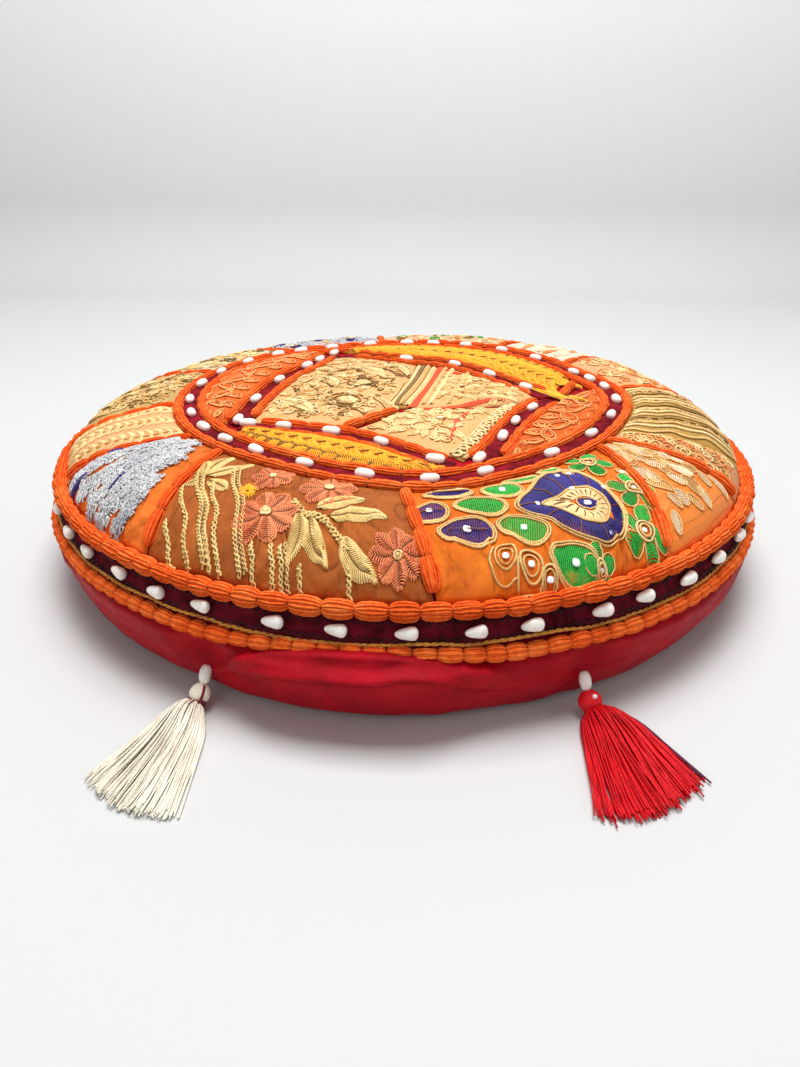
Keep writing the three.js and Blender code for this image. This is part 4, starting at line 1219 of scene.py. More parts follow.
def build_band():
    azimuths = np.linspace(0, 360, 720, endpoint=False)
    t = azimuths / 360

    def surface(share, upper):
        height = BAND["bottom"] + (BAND["top"] - BAND["bottom"]) * share
        edge = 4 * share * (1 - share)
        ripple = 0.3 * noise(np.mod(t * 150, 150), 0 * t + share * 2, 71)
        ripple += 0.5 * noise(np.mod(t * 36, 36), 0 * t + share, 77)
        thick = GAP + 0.9 + 0.7 * edge + ripple * (0.4 + edge) if upper else -0.3
        return at_height(polar(azimuths, wall_radius(height) + thick), height)

    sections = closed_strip(surface, np.array([0, 0.04, 0.2, 0.4, 0.6, 0.8, 0.96, 1.0]))
    piece = link("edge_band_velvet", tube_mesh("edge_band_velvet", sections, ring=True))
    finished(piece, "velvet", ["velvet_band"], "maroon_velvet")


def wall_line(t, height, out):
    """Line round the wall of the edge, at heights and at a distance in front of the wall."""
    return thread_line(at_height(polar(t * 360, wall_radius(height) + out), height))


def build_gold_cord():
    """Two strands that wind round each other along a wavering line."""
    count, twists, middle, reach = 720, 180, 43.6, 0.42
    t = np.arange(count) / count
    waver = 0.9 * noise(np.mod(t * 70, 70), 0 * t, 81) + 0.4 * noise(np.mod(t * 190, 190), 0 * t, 83)
    lines = []
    for phase in (0, math.pi):
        turn = 2 * math.pi * t * twists + phase
        plan = polar(t * 360, wall_radius(middle) + 2.35 + reach * np.cos(turn))
        lines.append(thread_line(at_height(plan, middle + waver + reach * np.sin(turn))))
    threads("gold_edge_cord", lines, "gold_cord", "gold_cord", 0.55, 4, ["gold_cord"], True)


def build_band_stitches():
    """Sawtooth stitches along both edges of the band."""
    points = 660
    t = (np.arange(points) + 0.5) / points
    waver = 0.25 * noise(t * 400, 0 * t, 85)
    lines = [wall_line(t, np.where(np.arange(points) % 2 == 0, low, high) + waver, 2.15)
             for low, high in ((50.8, 53.2), (44.5, 46.2))]
    threads("band_edge_stitches", lines, "black_stitch", "velvet", 0.38, 4, closed=True)


# Beads

def bead_piece(name, points, along, up, sizes, finish, **shape):
    seed = seed_mesh(name, points, [], along=along, up=up, thick=sizes)
    finished(grown(name, seed, "bead", finish, **shape), "bead")


def build_beads(sizes):
    rng = np.random.default_rng(23)
    length, width = sizes.bead_length, sizes.bead_width
    azimuths = np.array(RING_BEADS, float)
    plans = [polar(azimuths, ring_radius(azimuths))]
    aheads = [polar(azimuths + 1, ring_radius(azimuths + 1)) - plans[0]]
    for side, places in SIDE_BEADS.items():
        line = SIDE_CURVES[side].beside(0.0)
        plans.append(line(np.array(places)))
        aheads.append(heading(line, np.array(places), step=0.01))
    plan, ahead = np.concatenate(plans), np.concatenate(aheads)
    turn = np.radians(rng.uniform(-9, 9, len(plan)))[:, None]
    ahead = ahead * np.cos(turn) + turned_left(ahead) * np.sin(turn)
    bead_piece("crown_beads", on_crown(plan, 0.9 + width / MM * 0.42), at_height(ahead, 0.0),
               crown_normal(*plan.T), rng.uniform(0.93, 1.06, len(plan)), "milk_glass",
               Length=length, Width=width, Height=width * 0.9, Taper=-0.15)
    count = BAND_BEADS["count"]
    azimuths = BAND_BEADS["first"] + np.arange(count) * 360 / count + rng.uniform(-0.9, 0.9, count)
    height = BAND_BEADS["height"] + rng.uniform(-0.8, 0.8, count)
    points = at_height(polar(azimuths, BAND_BEADS["radius"]), height)
    along = at_height(polar(azimuths - 90, 1.0), rng.uniform(-0.12, 0.12, count))
    bead_piece("band_beads", points, along, at_height(polar(azimuths, 1.0), 0.0),
               rng.uniform(0.94, 1.06, count), "milk_glass",
               Length=length * 1.03, Width=width * 1.05, Height=width * 0.9, Taper=-0.75)


# Embroidery

CHART = 0.95  # the charts below are drawn for a round 410 mm across
STITCH = 0.92  # distance between satin stitches, mm
STITCH_END = 0.12  # height of both ends of a satin stitch over the cloth, mm
CHAIN_STEP = 0.8  # distance between points of a chain stitch, mm
CORD_STEP = 1.6  # distance between points of a cord, mm
STITCHED_RIM = 201.6  # chart radius where the stitching ends under the rim row
EYE_REACH = 560.0  # upright stems lean towards a point that far in front of the middle

# finish, slot and thread radius of each colour of thread
THREADS = {
    "gold": ("gold_thread", "gold_cord", 0.42),
    "ivory": ("cream_thread", "cream_brocade", 0.46),
    "straw": ("straw_thread", "rust_cloth", 0.46),
    "pale": ("pale_thread", "cream_brocade", 0.46),
    "pink": ("pink_thread", "rust_cloth", 0.46),
    "brown": ("brown_thread", "peach_brocade", 0.36),
    "green": ("green_thread", "orange_cloth", 0.46),
    "navy": ("navy_thread", "grey_navy", 0.46),
    "mustard": ("mustard_thread", "yellow_braid", 0.46),
    "olive": ("olive_thread", "olive_brocade", 0.36),
    "tan": ("tan_thread", "tan_stitch_orange", 0.42),
    "silver": ("silver_thread", "silver_scroll", 0.42),
    "red": ("red_thread", "red_cloth", 0.5),
}


def closed_loop(points, count):
    """Points evenly through a closed smooth line."""
    given = np.array(points, float)
    n = len(given)
    t = np.linspace(0, n, count, endpoint=False)
    i = t.astype(int)
    f = (t - i)[:, None]
    a, b, c, d = (given[(i + k) % n] for k in (-1, 0, 1, 2))
    return b + 0.5 * f * (c - a + f * (2 * a - 5 * b + 4 * c - d + f * (3 * (b - c) + d - a)))


def on_patch(name, u, v):
    """Chart place of a share across and along a patch."""
    grid = PATCH_GRIDS[name]
    last = len(grid) - 1
    u, v = np.clip(u, 0, 1) * last, np.clip(v, 0, 1) * last
    i, j = np.minimum(u.astype(int), last - 1), np.minimum(v.astype(int), last - 1)
    f, g = (u - i)[:, None], (v - j)[:, None]
    low = grid[j, i] * (1 - f) + grid[j, i + 1] * f
    high = grid[j + 1, i] * (1 - f) + grid[j + 1, i + 1] * f
    return (low * (1 - g) + high * g) / CHART


def stitch_shares(line, low, high, spacing=STITCH):
    """Shares of a chart line between two shares, a stitch apart along the sloping cloth."""
    share = np.linspace(low, high, 24)
    plan = line(share) * CHART
    length = length_along(at_height(plan, crown_height(*plan.T)))
    count = max(3, int(length[-1] / spacing) + 1)
    return np.interp(np.linspace(0, length[-1], count), length, share)


def within_rim(plan):
    """Chart places with those past the rim moved back to it."""
    plan = np.asarray(plan, float)
    reach = np.linalg.norm(plan, axis=-1, keepdims=True)
    return plan * np.minimum(1, STITCHED_RIM / np.maximum(reach, 1))


class Needlework:
    """Threads and sequins laid on the cloth, kept by colour; places are the chart's."""

    def __init__(self, seed):
        self.rng = np.random.default_rng(seed)
        self.threads, self.sequins = {}, []
        firsts = np.cumsum([0, *(len(top) for top, _ in PATCH_TOPS)])
        points = np.concatenate([top for top, _ in PATCH_TOPS])
        faces = np.concatenate([quads + first for (_, quads), first in zip(PATCH_TOPS, firsts)])
        self.cloth = BVHTree.FromPolygons(points.tolist(), faces.tolist())

    def draped(self, plan, lift):
        plan = plan * CHART
        height = crown_height(*plan.T) + 1.5
        for i, (x, y) in enumerate(plan.tolist()):
            hit = self.cloth.ray_cast(Vector((x, y, 200.0)), Vector((0, 0, -1.0)))[0]
            if hit is not None:
                height[i] = hit.z
        return at_height(plan, height) + crown_normal(*plan.T) * lift[:, None]

    def lay(self, thread, plan, lift=0.3, thick=1.0):
        plan = within_rim(plan)
        full = np.zeros(len(plan))
        self.threads.setdefault(thread, []).append((plan, full + lift, full + thick))

    def cord(self, thread, points, lift, thick):
        curve = PlanCurve(points)
        count = max(3, int(curve.length[-1] / CORD_STEP) + 2)
        self.lay(thread, curve.at(np.linspace(0, 1, count)), lift, thick)

    def chain(self, thread, points, size=0.85, thick=1.3):
        """Two threads that cross over and over, as chain stitch looks from above."""
        line = PlanCurve(points).at
        t = stitch_shares(line, 0, 1, CHAIN_STEP)
        left = turned_left(heading(line, t))
        phase = np.arange(len(t)) * math.pi / 3
        wide = size * self.rng.uniform(0.75, 1.25, len(t))
        for sign in (1, -1):
            aside = left * (sign * wide * np.sin(phase + 0.4))[:, None]
            self.lay(thread, line(t) + aside, 0.55 + 0.3 * sign * np.cos(phase), thick)

    def satin(self, thread, starts, ends, rise=0.75):
        for start, end in zip(starts, ends):
            self.lay(thread, [start, (start + end) / 2, end], [STITCH_END, rise, STITCH_END])

    def leaf(self, thread, base, tip, width, bend=0.0, blunt=0.75, vein=None, outline=None, rise=0.75,
             power=0.85):
        """Satin leaf in two halves; a power over one puts its widest place near the tip."""
        base, axis = np.array(base, float), np.subtract(tip, base)
        length = math.hypot(*axis)
        aside = turned_left(axis) / length

        def edge(s, side):
            spread = side * width / 2 * np.sin(np.pi * s**power) ** blunt
            return base + np.outer(s, axis) + np.outer(bend * length * np.sin(np.pi * s) + spread, aside)

        s = stitch_shares(lambda share: edge(share, 0), 0.03, 0.9)
        for side in (1, -1):
            self.satin(thread, edge(s, 0), edge(np.minimum(s + 0.14, 0.99), side), rise)
        t = np.linspace(0, 1, max(4, int(length / 1.8)))
        if vein:
            self.lay(vein, edge(t, 0), 0.55, 1.35)
        for side in (1, -1) if outline else ():
            self.lay(outline, edge(t, side), 0.45, 0.85)

    def oval(self, thread, centre, length, width, angle, outline=None, sequin=0.0, rings=1, point=0.0,
             rise=0.75):
        """Satin oval, drawn to a point at its start as far as `point` asks."""
        along = polar(angle, 1.0)

        def outline_at(around, grow=0.0):
            s = np.cos(around)
            half = np.sin(around) * (width / 2 + grow) * (1 - point * (1 - s) / 2) * (1 + 0.2 * point)
            return centre + np.outer(s * (length / 2 + grow), along) + np.outer(half, turned_left(along))

        turns = np.arccos(stitch_shares(lambda s: centre + np.outer(s * length / 2, along), -0.94, 0.94))
        self.satin(thread, outline_at(turns), outline_at(-turns), rise)
        around = np.linspace(0, 2 * math.pi, max(9, int(length * 1.3)))
        for ring in range(rings if outline else 0):
            self.lay(outline, outline_at(around, 0.7 + 1.15 * ring), 0.45, 1.6 if rings > 1 else 1.0)
        if sequin:
            self.sequins.append((centre, sequin))

    def flower(self, thread, centre, radius, petals, turn):
        """Petals of stitches that fan out from the heart, their tips rounded."""
        share = np.linspace(-1, 1, 5)
        fan = share * 0.88 * 180 / petals
        for k in range(petals):
            middle = turn + 360 * k / petals
            reach = radius * self.rng.uniform(0.93, 1.04)
            tip = reach * (1 - 0.24 * np.abs(share) ** 2.2)
            starts = centre + polar(middle + fan * 0.7, 0.17 * reach)
            self.satin(thread, starts, centre + polar(middle + fan * 0.94, tip), 1.1)

    def drop(self, thread, centre, length, width, angle, thick):
        """Outline of a drop, pointed at its start."""
        along = polar(angle, 1.0)
        around = np.linspace(0, 2 * math.pi, max(10, int(length * 1.4)))
        half = width / 2 * np.sin(around) * (1 + 0.5 * np.cos(around))
        shape = np.outer(np.cos(around) * length / 2, along) + np.outer(half, turned_left(along))
        self.lay(thread, centre + shape, 0.55, thick)

    def ring(self, thread, centre, radius, lift=0.45, thick=1.0):
        around = np.linspace(0, 360, max(8, int(radius * 3.6) + 5))
        self.lay(thread, centre + polar(around, radius), lift, thick)

    def spiral(self, thread, centre, radius, turn, hand, turns, thick, lift=0.45):
        s = np.linspace(0, 1, max(9, int(radius * turns * 3.2)))
        self.lay(thread, centre + polar(turn + hand * 360 * turns * s, radius * (1 - 0.86 * s)), lift, thick)

    def satin_path(self, thread, points, width, rise, taper=True):
        """Thick satin stem along a line."""
        line = PlanCurve(points).at
        t = stitch_shares(line, 0.01, 0.99)
        ahead = heading(line, t, step=0.01)
        half = width / 2 * (np.sin(np.pi * np.clip(t, 0.05, 0.95)) ** 0.5 if taper else 1 + 0 * t)
        reach = (turned_left(ahead) - 0.5 * ahead) * half[:, None]
        self.satin(thread, line(t) + reach, line(t) - reach, rise)

    def finish(self):
        for thread, laid in self.threads.items():
            plans, lifts, thicks = zip(*laid)
            points = self.draped(np.concatenate(plans), np.concatenate(lifts))
            runs = np.split(points, np.cumsum([len(plan) for plan in plans])[:-1])
            lines = [{"points": run, "thick": thick} for run, thick in zip(runs, thicks)]
            finish, slot, radius = THREADS[thread]
            threads(f"embroidery_{thread}", lines, finish, slot, radius, 3)
        plan = within_rim([place for place, _ in self.sequins])
        size = np.array([size for _, size in self.sequins])
        points = self.draped(plan, 0.9 + 0 * size)
        up = crown_normal(*(plan * CHART).T)
        up += self.rng.uniform(-0.18, 0.18, up.shape)
        along = np.tile([1.0, 0, 0], (len(plan), 1))
        bead_piece("sequins", points, along, up, size, "mirror_white", Length=0.006, Width=0.006,
                   Height=0.0016, Taper=0.0, Segments=12, Rings=7)


def wavy(name, u, swing, waves, count):
    """Line along a patch with a gentle wave, as chart points."""
    t = np.linspace(0.03, 0.97, count)
    return on_patch(name, u + swing * np.sin(2 * math.pi * waves * t), t)


def sew_petals(work, thread, centre, radius, petals, turn):
    """Flower of separate round petals, each with its vein, round a knot."""
    width = 2 * math.pi * radius * 0.7 / petals
    for k in range(petals):
        aim = polar(turn + 360 * k / petals, 1.0)
        reach = radius * work.rng.uniform(0.9, 1.06)
        work.leaf(thread, centre + aim * radius * 0.16, centre + aim * reach, width, 0, 0.42,
                  vein="brown", outline=thread, rise=1.1, power=1.5)
    for share in (0.04, 0.13):
        work.ring("ivory", centre, radius * share, 1.4, 1.7)


def sew_floral_rust(work):
    """Stems in chain stitch, straw leaves and pink flowers on the rust patch."""
    stems = ((-109, -155), (-105, -137), (-100, -124.5), (-96, -130), (-90, -136), (-82, -125),
             (-66, -178), (-57, -180), (-53, -181), (-44, -190), (-23, -192))
    for k, (x, top) in enumerate(stems):
        foot = -math.sqrt(STITCHED_RIM**2 - (0.9 * x) ** 2)
        lean = (EYE_REACH + foot) / (EYE_REACH + top)
        sway = min(1.0, (top - foot) / 45)
        path = np.array([(x * (1 + (lean - 1) * share) + sway * aside, top + (foot - top) * share)
                         for share, aside in ((0, 0), (0.25, -0.8), (0.5, 1.2), (0.75, -0.8), (1, 0.4))])
        work.chain("straw", path)
        if k % 3 == 2:
            work.chain("gold", path + (2.6, 0), 0.7, 1.2)
            work.cord("brown", path + (1.3, 0), 0.4, 1.5)
    for base, tip, width, bend in (
            ((-95, -131), (-84, -112), 8, 0.1), ((-96, -131), (-99, -114), 7.0, -0.08),
            ((-94, -132), (-72, -123), 7.5, 0.05), ((-97, -133), (-105, -136), 5, 0.1),
            ((-93, -135), (-82, -146), 7.5, 0.1)):
        work.leaf("straw", base, tip, width, bend, vein="olive")
    for centre, radius, petals, turn in (((-61, -165), 15, 8, 10), ((-34, -149), 13.8, 8, 0),
                                         ((-61, -139), 10.5, 7, 20), ((-2.5, -188.5), 12, 8, 5)):
        sew_petals(work, "pink", centre, radius, petals, turn)
    for base, tip, width, bend in (
            ((-46, -166), (-50, -189), 8.5, 0.12), ((-41, -170), (-32, -193), 9, -0.1),
            ((-39, -165), (-17, -159), 9, 0.12), ((-33, -170), (-7, -172), 9.5, 0.1),
            ((-26, -181), (-11, -198), 10, -0.12)):
        work.leaf("straw", base, tip, width, bend, vein="olive", rise=1.1)
    work.chain("straw", [(-50, -157), (-44, -166), (-36, -171), (-30, -178), (-24, -187)], 1.2, 1.6)
    work.flower("mustard", (-72, -148), 5.4, 5, 15)


def sew_paisley_orange(work):
    """Drop like an eye with rings round it, ovals with gold outlines, and flowers of five ovals."""
    outer = closed_loop([(51, -159), (58, -147), (64, -135), (72, -127), (82, -126), (91, -132),
                         (97, -142), (100, -154), (97, -165), (88, -171), (75, -170), (62, -165)], 132)
    inner = closed_loop([(62, -157), (70, -151), (76, -143), (83, -139), (89, -141), (93, -148),
                         (93, -156), (89, -162), (80, -163), (71, -160)], 132)
    heart = inner.mean(0) + (3.0, 0.5)
    core = heart + (inner - heart) * 0.44
    work.satin("navy", outer, inner, 1.3)
    work.satin("ivory", inner, core, 0.9)
    work.satin("brown", inner[::7] * 0.92 + core[::7] * 0.08, core[3::7], 1.3)
    work.oval("navy", heart, 9.5, 6.5, 20, "gold", 0.62)
    edge = outer + (outer - outer.mean(0)) * 0.055
    for loop, lift, thick in ((outer, 0.7, 1.7), (inner, 0.7, 1.5), (edge, 0.45, 1.7)):
        work.lay("gold", np.concatenate([loop[::2], loop[:1]]), lift, thick)
    for near, far in zip(outer[::12], inner[::12]):
        work.lay("brown", [near, (near + far) / 2, far], (0.6, 1.8, 0.6), 0.8)
    for spot in ((73, -131), (60, -157), (92, -166), (94, -137), (78, -142)):
        work.sequins.append((spot, 0.42))
    for centre, length, width, angle, sequin in (
            ((45, -147), 17, 10.5, 16, 0.5), ((34, -161), 21, 10.5, 6, 0), ((52, -172), 20, 12, -4, 0.5),
            ((74, -182), 20, 12.5, 8, 0.62), ((55, -136), 16, 4.5, 20, 0), ((70, -124), 10, 5, 30, 0)):
        work.oval("green", centre, length, width, angle, "gold", sequin, 2, 0.25)
    for centre, length, width, angle, sequin in (
            ((20, -151), 20, 9.5, 12, 0), ((11, -166), 14, 12.5, 0, 0.5), ((27, -177), 22, 12.5, 4, 0.62)):
        work.oval("navy", centre, length, width, angle, "gold", sequin, 2, 0.45)
        work.lay("brown", np.add(centre, ((-length * 0.36, 0), (0, 0), (length * 0.4, 0.6))), 1.25)
    for centre, radius, turn in (((91, -114), 12.5, 5), ((109, -135), 12.5, 30), ((109, -159), 12.5, 12),
                                 ((86, -180), 7.5, 40)):
        for angle in range(turn, turn + 360, 72):
            place = centre + polar(angle, radius * 0.62)
            work.oval("green", place, radius * 0.74, radius * 0.6, angle, "gold", 0, 1, 0.3)
        work.sequins.append((centre, 0.42))
        work.ring("gold", centre, radius * 0.2, 1.4, 1.4)
        work.ring("ivory", centre, radius * 0.32, 1.2, 1.2)
    for centre, radius in (((43, -186), 4.6), ((54, -187), 5.0), ((62, -190), 3.4), ((120, -150), 3.2),
                           ((79, -128), 2.6), ((107, -120), 3.0)):
        work.ring("gold", centre, radius, 0.45, 1.7)
        work.ring("gold", centre, radius * 0.66, 0.45, 1.2)
        work.sequins.append((centre, 0.48))
    for points in (((38, -183), (36, -190), (41, -195), (48, -193)), ((48, -187), (49, -197), (57, -199)),
                   ((60, -188), (58, -193)), ((112, -146), (117, -143), (121, -146))):
        work.cord("gold", points, 0.45, 1.6)


def scatter(work, name, columns, rows, loose=0.3, margin=0.08):
    """Places in a jittered grid over a patch, as chart points."""
    u, v = np.meshgrid((np.arange(columns) + 0.5) / columns, (np.arange(rows) + 0.5) / rows)
    u = u + work.rng.uniform(-loose, loose, u.shape) / columns
    v = v + work.rng.uniform(-loose, loose, v.shape) / rows
    return on_patch(name, *(margin + (1 - 2 * margin) * share.ravel() for share in (u, v)))


def sew_blotches(work, name, columns, rows, threads_used, size, outline):
    """Flat ovals that lie roughly along the patch."""
    for k, place in enumerate(scatter(work, name, columns, rows)):
        length = work.rng.uniform(*size)
        along = math.degrees(math.atan2(place[1], place[0])) + work.rng.uniform(-35, 35)
        work.oval(threads_used[k % len(threads_used)], place, length,
                  length * work.rng.uniform(0.4, 0.65), along, outline, rise=0.5)


def sew_scrolls(work, name, columns, rows, threads_used, radius, leaf_thread=None):
    for k, place in enumerate(scatter(work, name, columns, rows)):
        turn, hand = work.rng.uniform(0, 360), 1 if k % 2 else -1
        size = radius * work.rng.uniform(0.8, 1.15)
        work.spiral(threads_used[k % len(threads_used)], place, size, turn, hand, 1.5, 1.25)
        if leaf_thread:
            out = polar(turn + 40 * hand, size)
            work.leaf(leaf_thread, place + out * 0.7, place + out * 1.7, size * 0.6)


def sew_stripes(work):
    name = "patch_striped_olive"
    for k, u in enumerate(np.linspace(0.05, 0.95, 14)):
        thread = ("gold", "ivory", "gold", "olive")[k % 4]
        work.lay(thread, wavy(name, u, 0.014, 3.2, 40), 0.4, 1.5 if thread == "olive" else 1.9)
        if k % 3 == 2:
            v = np.linspace(0.08, 0.94, 9)
            for place in on_patch(name, u + 0.035 + 0 * v, v):
                work.ring("gold", place, 1.7)


def sew_wheat(work):
    for u in (0.16, 0.5, 0.84):
        stem = wavy("patch_wheat_peach", u, 0.03, 1.1, 13)
        work.lay("gold", stem, 0.6, 1.5)
        along = unit(np.gradient(stem, axis=0))
        for sign in (1, -1):
            tips = stem + along * 5.5 + turned_left(along) * sign * 6.8
            for start, tip in zip(stem[:-1], tips):
                work.leaf("ivory", start, tip, 2.9, 0.1 * sign, rise=0.7)


def sew_silver(work):
    """Broad strokes of loose silver curls, with a few navy stitches."""
    for points, width in (
            (((-178, -93), (-166, -97), (-152, -93), (-138, -89), (-118, -85)), 12),
            (((-167, -108), (-156, -112), (-146, -109), (-134, -102), (-120, -96), (-106, -92)), 14),
            (((-158, -122), (-148, -125), (-139, -119), (-129, -110), (-108, -100)), 15),
            (((-151, -135), (-142, -136), (-134, -129), (-126, -118), (-110, -108)), 14),
            (((-138, -148), (-131, -144), (-126, -136), (-119, -125)), 10)):
        curve = PlanCurve(points)
        work.satin_path("silver", points, width * 0.8, 0.7)
        for t in np.linspace(0.03, 0.97, int(curve.length[-1] / 2.4)):
            across = turned_left(heading(curve.at, t, step=0.02))
            full = 0.45 + 0.55 * math.sin(math.pi * t)
            for side in (-0.44, -0.22, 0.0, 0.22, 0.44):
                place = curve.at(t) + across * side * width * full + work.rng.uniform(-0.9, 0.9, 2)
                work.spiral("silver", place, work.rng.uniform(1.3, 2.4), work.rng.uniform(0, 360),
                            work.rng.choice((-1, 1)), 1.2, 1.2, work.rng.uniform(0.8, 1.3))
    for centre, length, width, angle in (((-168, -102), 10, 2.4, 14), ((-152, -88), 8, 2.2, -8),
                                         ((-141, -121), 10, 2.0, 58)):
        half = polar(angle, length / 2)
        work.satin_path("navy", [centre - half, centre, centre + half], width, 2.2)


def local_frame(name, u, v):
    """Place on a patch with its lengthwise and crosswise directions and its width there."""
    here, ahead, low, high = on_patch(name, np.array([u, u, 0, 1]), np.array([v, v + 0.02, v, v]))
    return here, unit(ahead - here), unit(high - low), np.linalg.norm(high - low)


def sew_braids(work):
    """Plait of long sweeping leaves with a row of round drops beside it."""
    for name, count, hand in (("segment_braid_front", 14, 1), ("segment_braid_back", 19, -1)):
        for k in range(count):
            v = (k + 0.6) / (count + 0.4)
            wide = local_frame(name, 0.5, v)[3]
            if wide < 8:
                continue
            for u, away, slant in ((0.5, 0.42, 2.0), (0.62, -0.3, 1.7)):
                here, aim, across, _ = local_frame(name, u, v)
                tip = here + across * away * wide - aim * hand * abs(away) * wide * slant
                work.leaf("mustard", here, tip, min(wide * 0.24, 7.5), math.copysign(0.2, hand * away),
                          0.6, outline="olive", rise=1.3)
            if wide > 13:
                here, aim, _, _ = local_frame(name, 0.16, v)
                angle = math.degrees(math.atan2(aim[1], aim[0])) + 20 * hand
                work.oval("mustard", here, min(wide * 0.3, 8.0), min(wide * 0.23, 6.4), angle, "olive")


def sew_ovals(work):
    """Drops, curls and small wheels in outline on the two orange segments."""
    for name, count in (("segment_orange_right", 8), ("segment_orange_left", 10)):
        for k in range(count):
            here, aim, across, wide = local_frame(name, 0.42, (k + 0.6) / (count + 0.2))
            if wide < 9:
                continue
            long = min(wide * 0.62, 19.0)
            angle = math.degrees(math.atan2(aim[1], aim[0])) + (30 if k % 2 else -26)
            for share, thick in ((1.0, 1.5), (0.6, 1.1)):
                work.drop("tan", here, long * share, long * 0.42 * share, angle, thick)
            tip, hand = here + polar(angle, long * 0.55), 1 if k % 2 else -1
            work.spiral("tan", tip, 2.8, angle + 90, hand, 1.4, 1.3)
            for radius in (4.4, 2.2) if wide > 20 else ():
                work.ring("tan", here + across * wide * 0.3, radius, 0.6, 1.5)
            for away in (-0.28, -0.36):
                side = across * wide
                work.cord("tan", [here + side * away - aim * 6, here + side * (away - 0.05),
                                  here + side * (away + 0.03) + aim * 6], 0.5, 1.3)


def sew_ropes(work, name, count, margin, ropes, cords=(), thick=1.0):
    """Satin ropes along a patch, each at its share across it, and olive cords between them."""
    t = np.linspace(margin, 1 - margin, count)
    for u, thread, width in ropes:
        work.satin_path(thread, on_patch(name, u + 0 * t, t), width, 1.3, taper=False)
    for u in cords:
        work.lay("olive", on_patch(name, u + 0 * t, t), 0.6, thick)


def sew_centre(work):
    """Scrolls on the cream cloth, red lines, and ropes and curls on the gold cloths."""
    name = "centre_scroll_cream"
    for base, tip, width, turn in (
            ((-36, 46), (-12, 20), 13, 30), ((-60, 24), (-42, -2), 12, 80), ((-74, -28), (-52, -50), 12, 10),
            ((-18, -22), (-5, -46), 9, 60), ((-10, 52), (2, 30), 9, 40), ((-60, 44), (-46, 30), 8, 20)):
        work.leaf("ivory", base, tip, width, 0.14, vein="gold", outline="olive", rise=0.6)
        work.spiral("olive", tip, width * 0.36, turn, 1, 1.5, 1.4)
    for centre, radii in (((-34, -29), (12.5, 8.2)), ((-26, 8), (9.5, 6.0))):
        for radius in radii:
            work.ring("olive", centre, radius, 0.5, 1.7)
        work.flower("ivory", centre, radii[1] * 0.82, 6, 0)
    for thread, points in (
            ("olive", [(-46, 0), (-50, 20), (-38, 38), (-18, 42), (-6, 30), (-8, 12), (-18, -2)]),
            ("olive", [(-20, -54), (-30, -46), (-46, -46), (-60, -56)]),
            ("olive", [(-66, 10), (-54, -6), (-52, -26), (-64, -40)]),
            ("gold", [(-70, 0), (-60, 14), (-58, 34)]), ("gold", [(-10, -30), (-4, -6), (0, 16)])):
        work.cord(thread, points, 0.5, 1.7)
    for k, place in enumerate(scatter(work, name, 11, 12, 0.48)):
        turn = work.rng.uniform(0, 360)
        thread = ("gold", "ivory", "gold", "ivory", "olive")[k % 5]
        work.spiral(thread, place, work.rng.uniform(2.4, 4.2), turn, 1 if k % 2 else -1,
                    work.rng.uniform(0.8, 1.5), 1.3, 0.6)
        if k % 3 == 0:
            work.leaf("ivory", place, place + polar(turn, 6.5), 3.4, 0.12, rise=0.5)
    sew_ropes(work, "centre_olive_strip", 30, 0.02,
              ((0.12, "ivory", 2.6), (0.62, "gold", 2.6), (0.9, "ivory", 2.4)), (0.32, 0.42), 2.4)
    red = np.array([(4, -33), (9, -14), (15, 6), (20.5, 30), (24.5, 54)]) / CHART
    work.satin_path("red", red, 4.6, 0.6, taper=False)
    zari = "centre_zari_right"
    sew_ropes(work, zari, 34, 0.04, ((0.1, "gold", 2.4), (0.17, "ivory", 2.4), (0.33, "gold", 2.4)))
    for thread, first, v, width in (("ivory", 0.34, (0.2, 0.2), 3.0), ("gold", 0.4, (0.3, 0.66), 2.6)):
        line = on_patch(zari, np.linspace(first, 0.95, 26), np.linspace(*v, 26))
        work.satin_path(thread, line, width, 1.3, taper=False)
    for k, place in enumerate(scatter(work, zari, 7, 8, 0.42, 0.12)):
        turn = work.rng.uniform(0, 360)
        if k % 2:
            work.leaf("ivory", place, place + polar(turn, 6.5), 3.6, 0.12, rise=0.9)
        else:
            work.spiral("gold", place, 3.2, turn, 1, 1.4, 1.3, 0.6)
    for spot in ((36, 2), (46, 14), (28, 24), (20, -60)):
        work.ring("gold", spot, 2.6, 1.2, 1.4)
        work.sequins.append((spot, 0.6))
    work.satin_path("red", [(6, -38), (20, -36), (34, -31), (48, -25), (60, -22)], 3.4, 0.7)
    work.satin_path("red", [(26, 46), (31, 38), (38, 31)], 4.0, 0.7)
    for k, place in enumerate(scatter(work, "centre_zari_front", 5, 7, 0.35, 0.1)):
        turn = work.rng.uniform(0, 360)
        work.spiral("ivory" if k % 3 else "gold", place, 4.0, turn, 1, 1.6, 1.5)
        work.leaf("ivory", place, place - polar(turn, 7.5), 4.0, 0.12, outline="gold", rise=1.0)
    work.satin_path("red", [(40, -42), (32, -56), (27, -72), (24, -92)], 3.4, 0.9)
    border = "centre_border_strip"
    sew_ropes(work, border, 46, 0.01, ((0.08, "ivory", 2.2), (0.94, "gold", 2.2)), (0.22, 0.82), 2.0)
    k = np.arange(25)
    for place in on_patch(border, 0.44 + 0.16 * (k % 2), (k + 0.6) / 25.4):
        work.ring("ivory", place, 2.3, 0.7, 1.7)


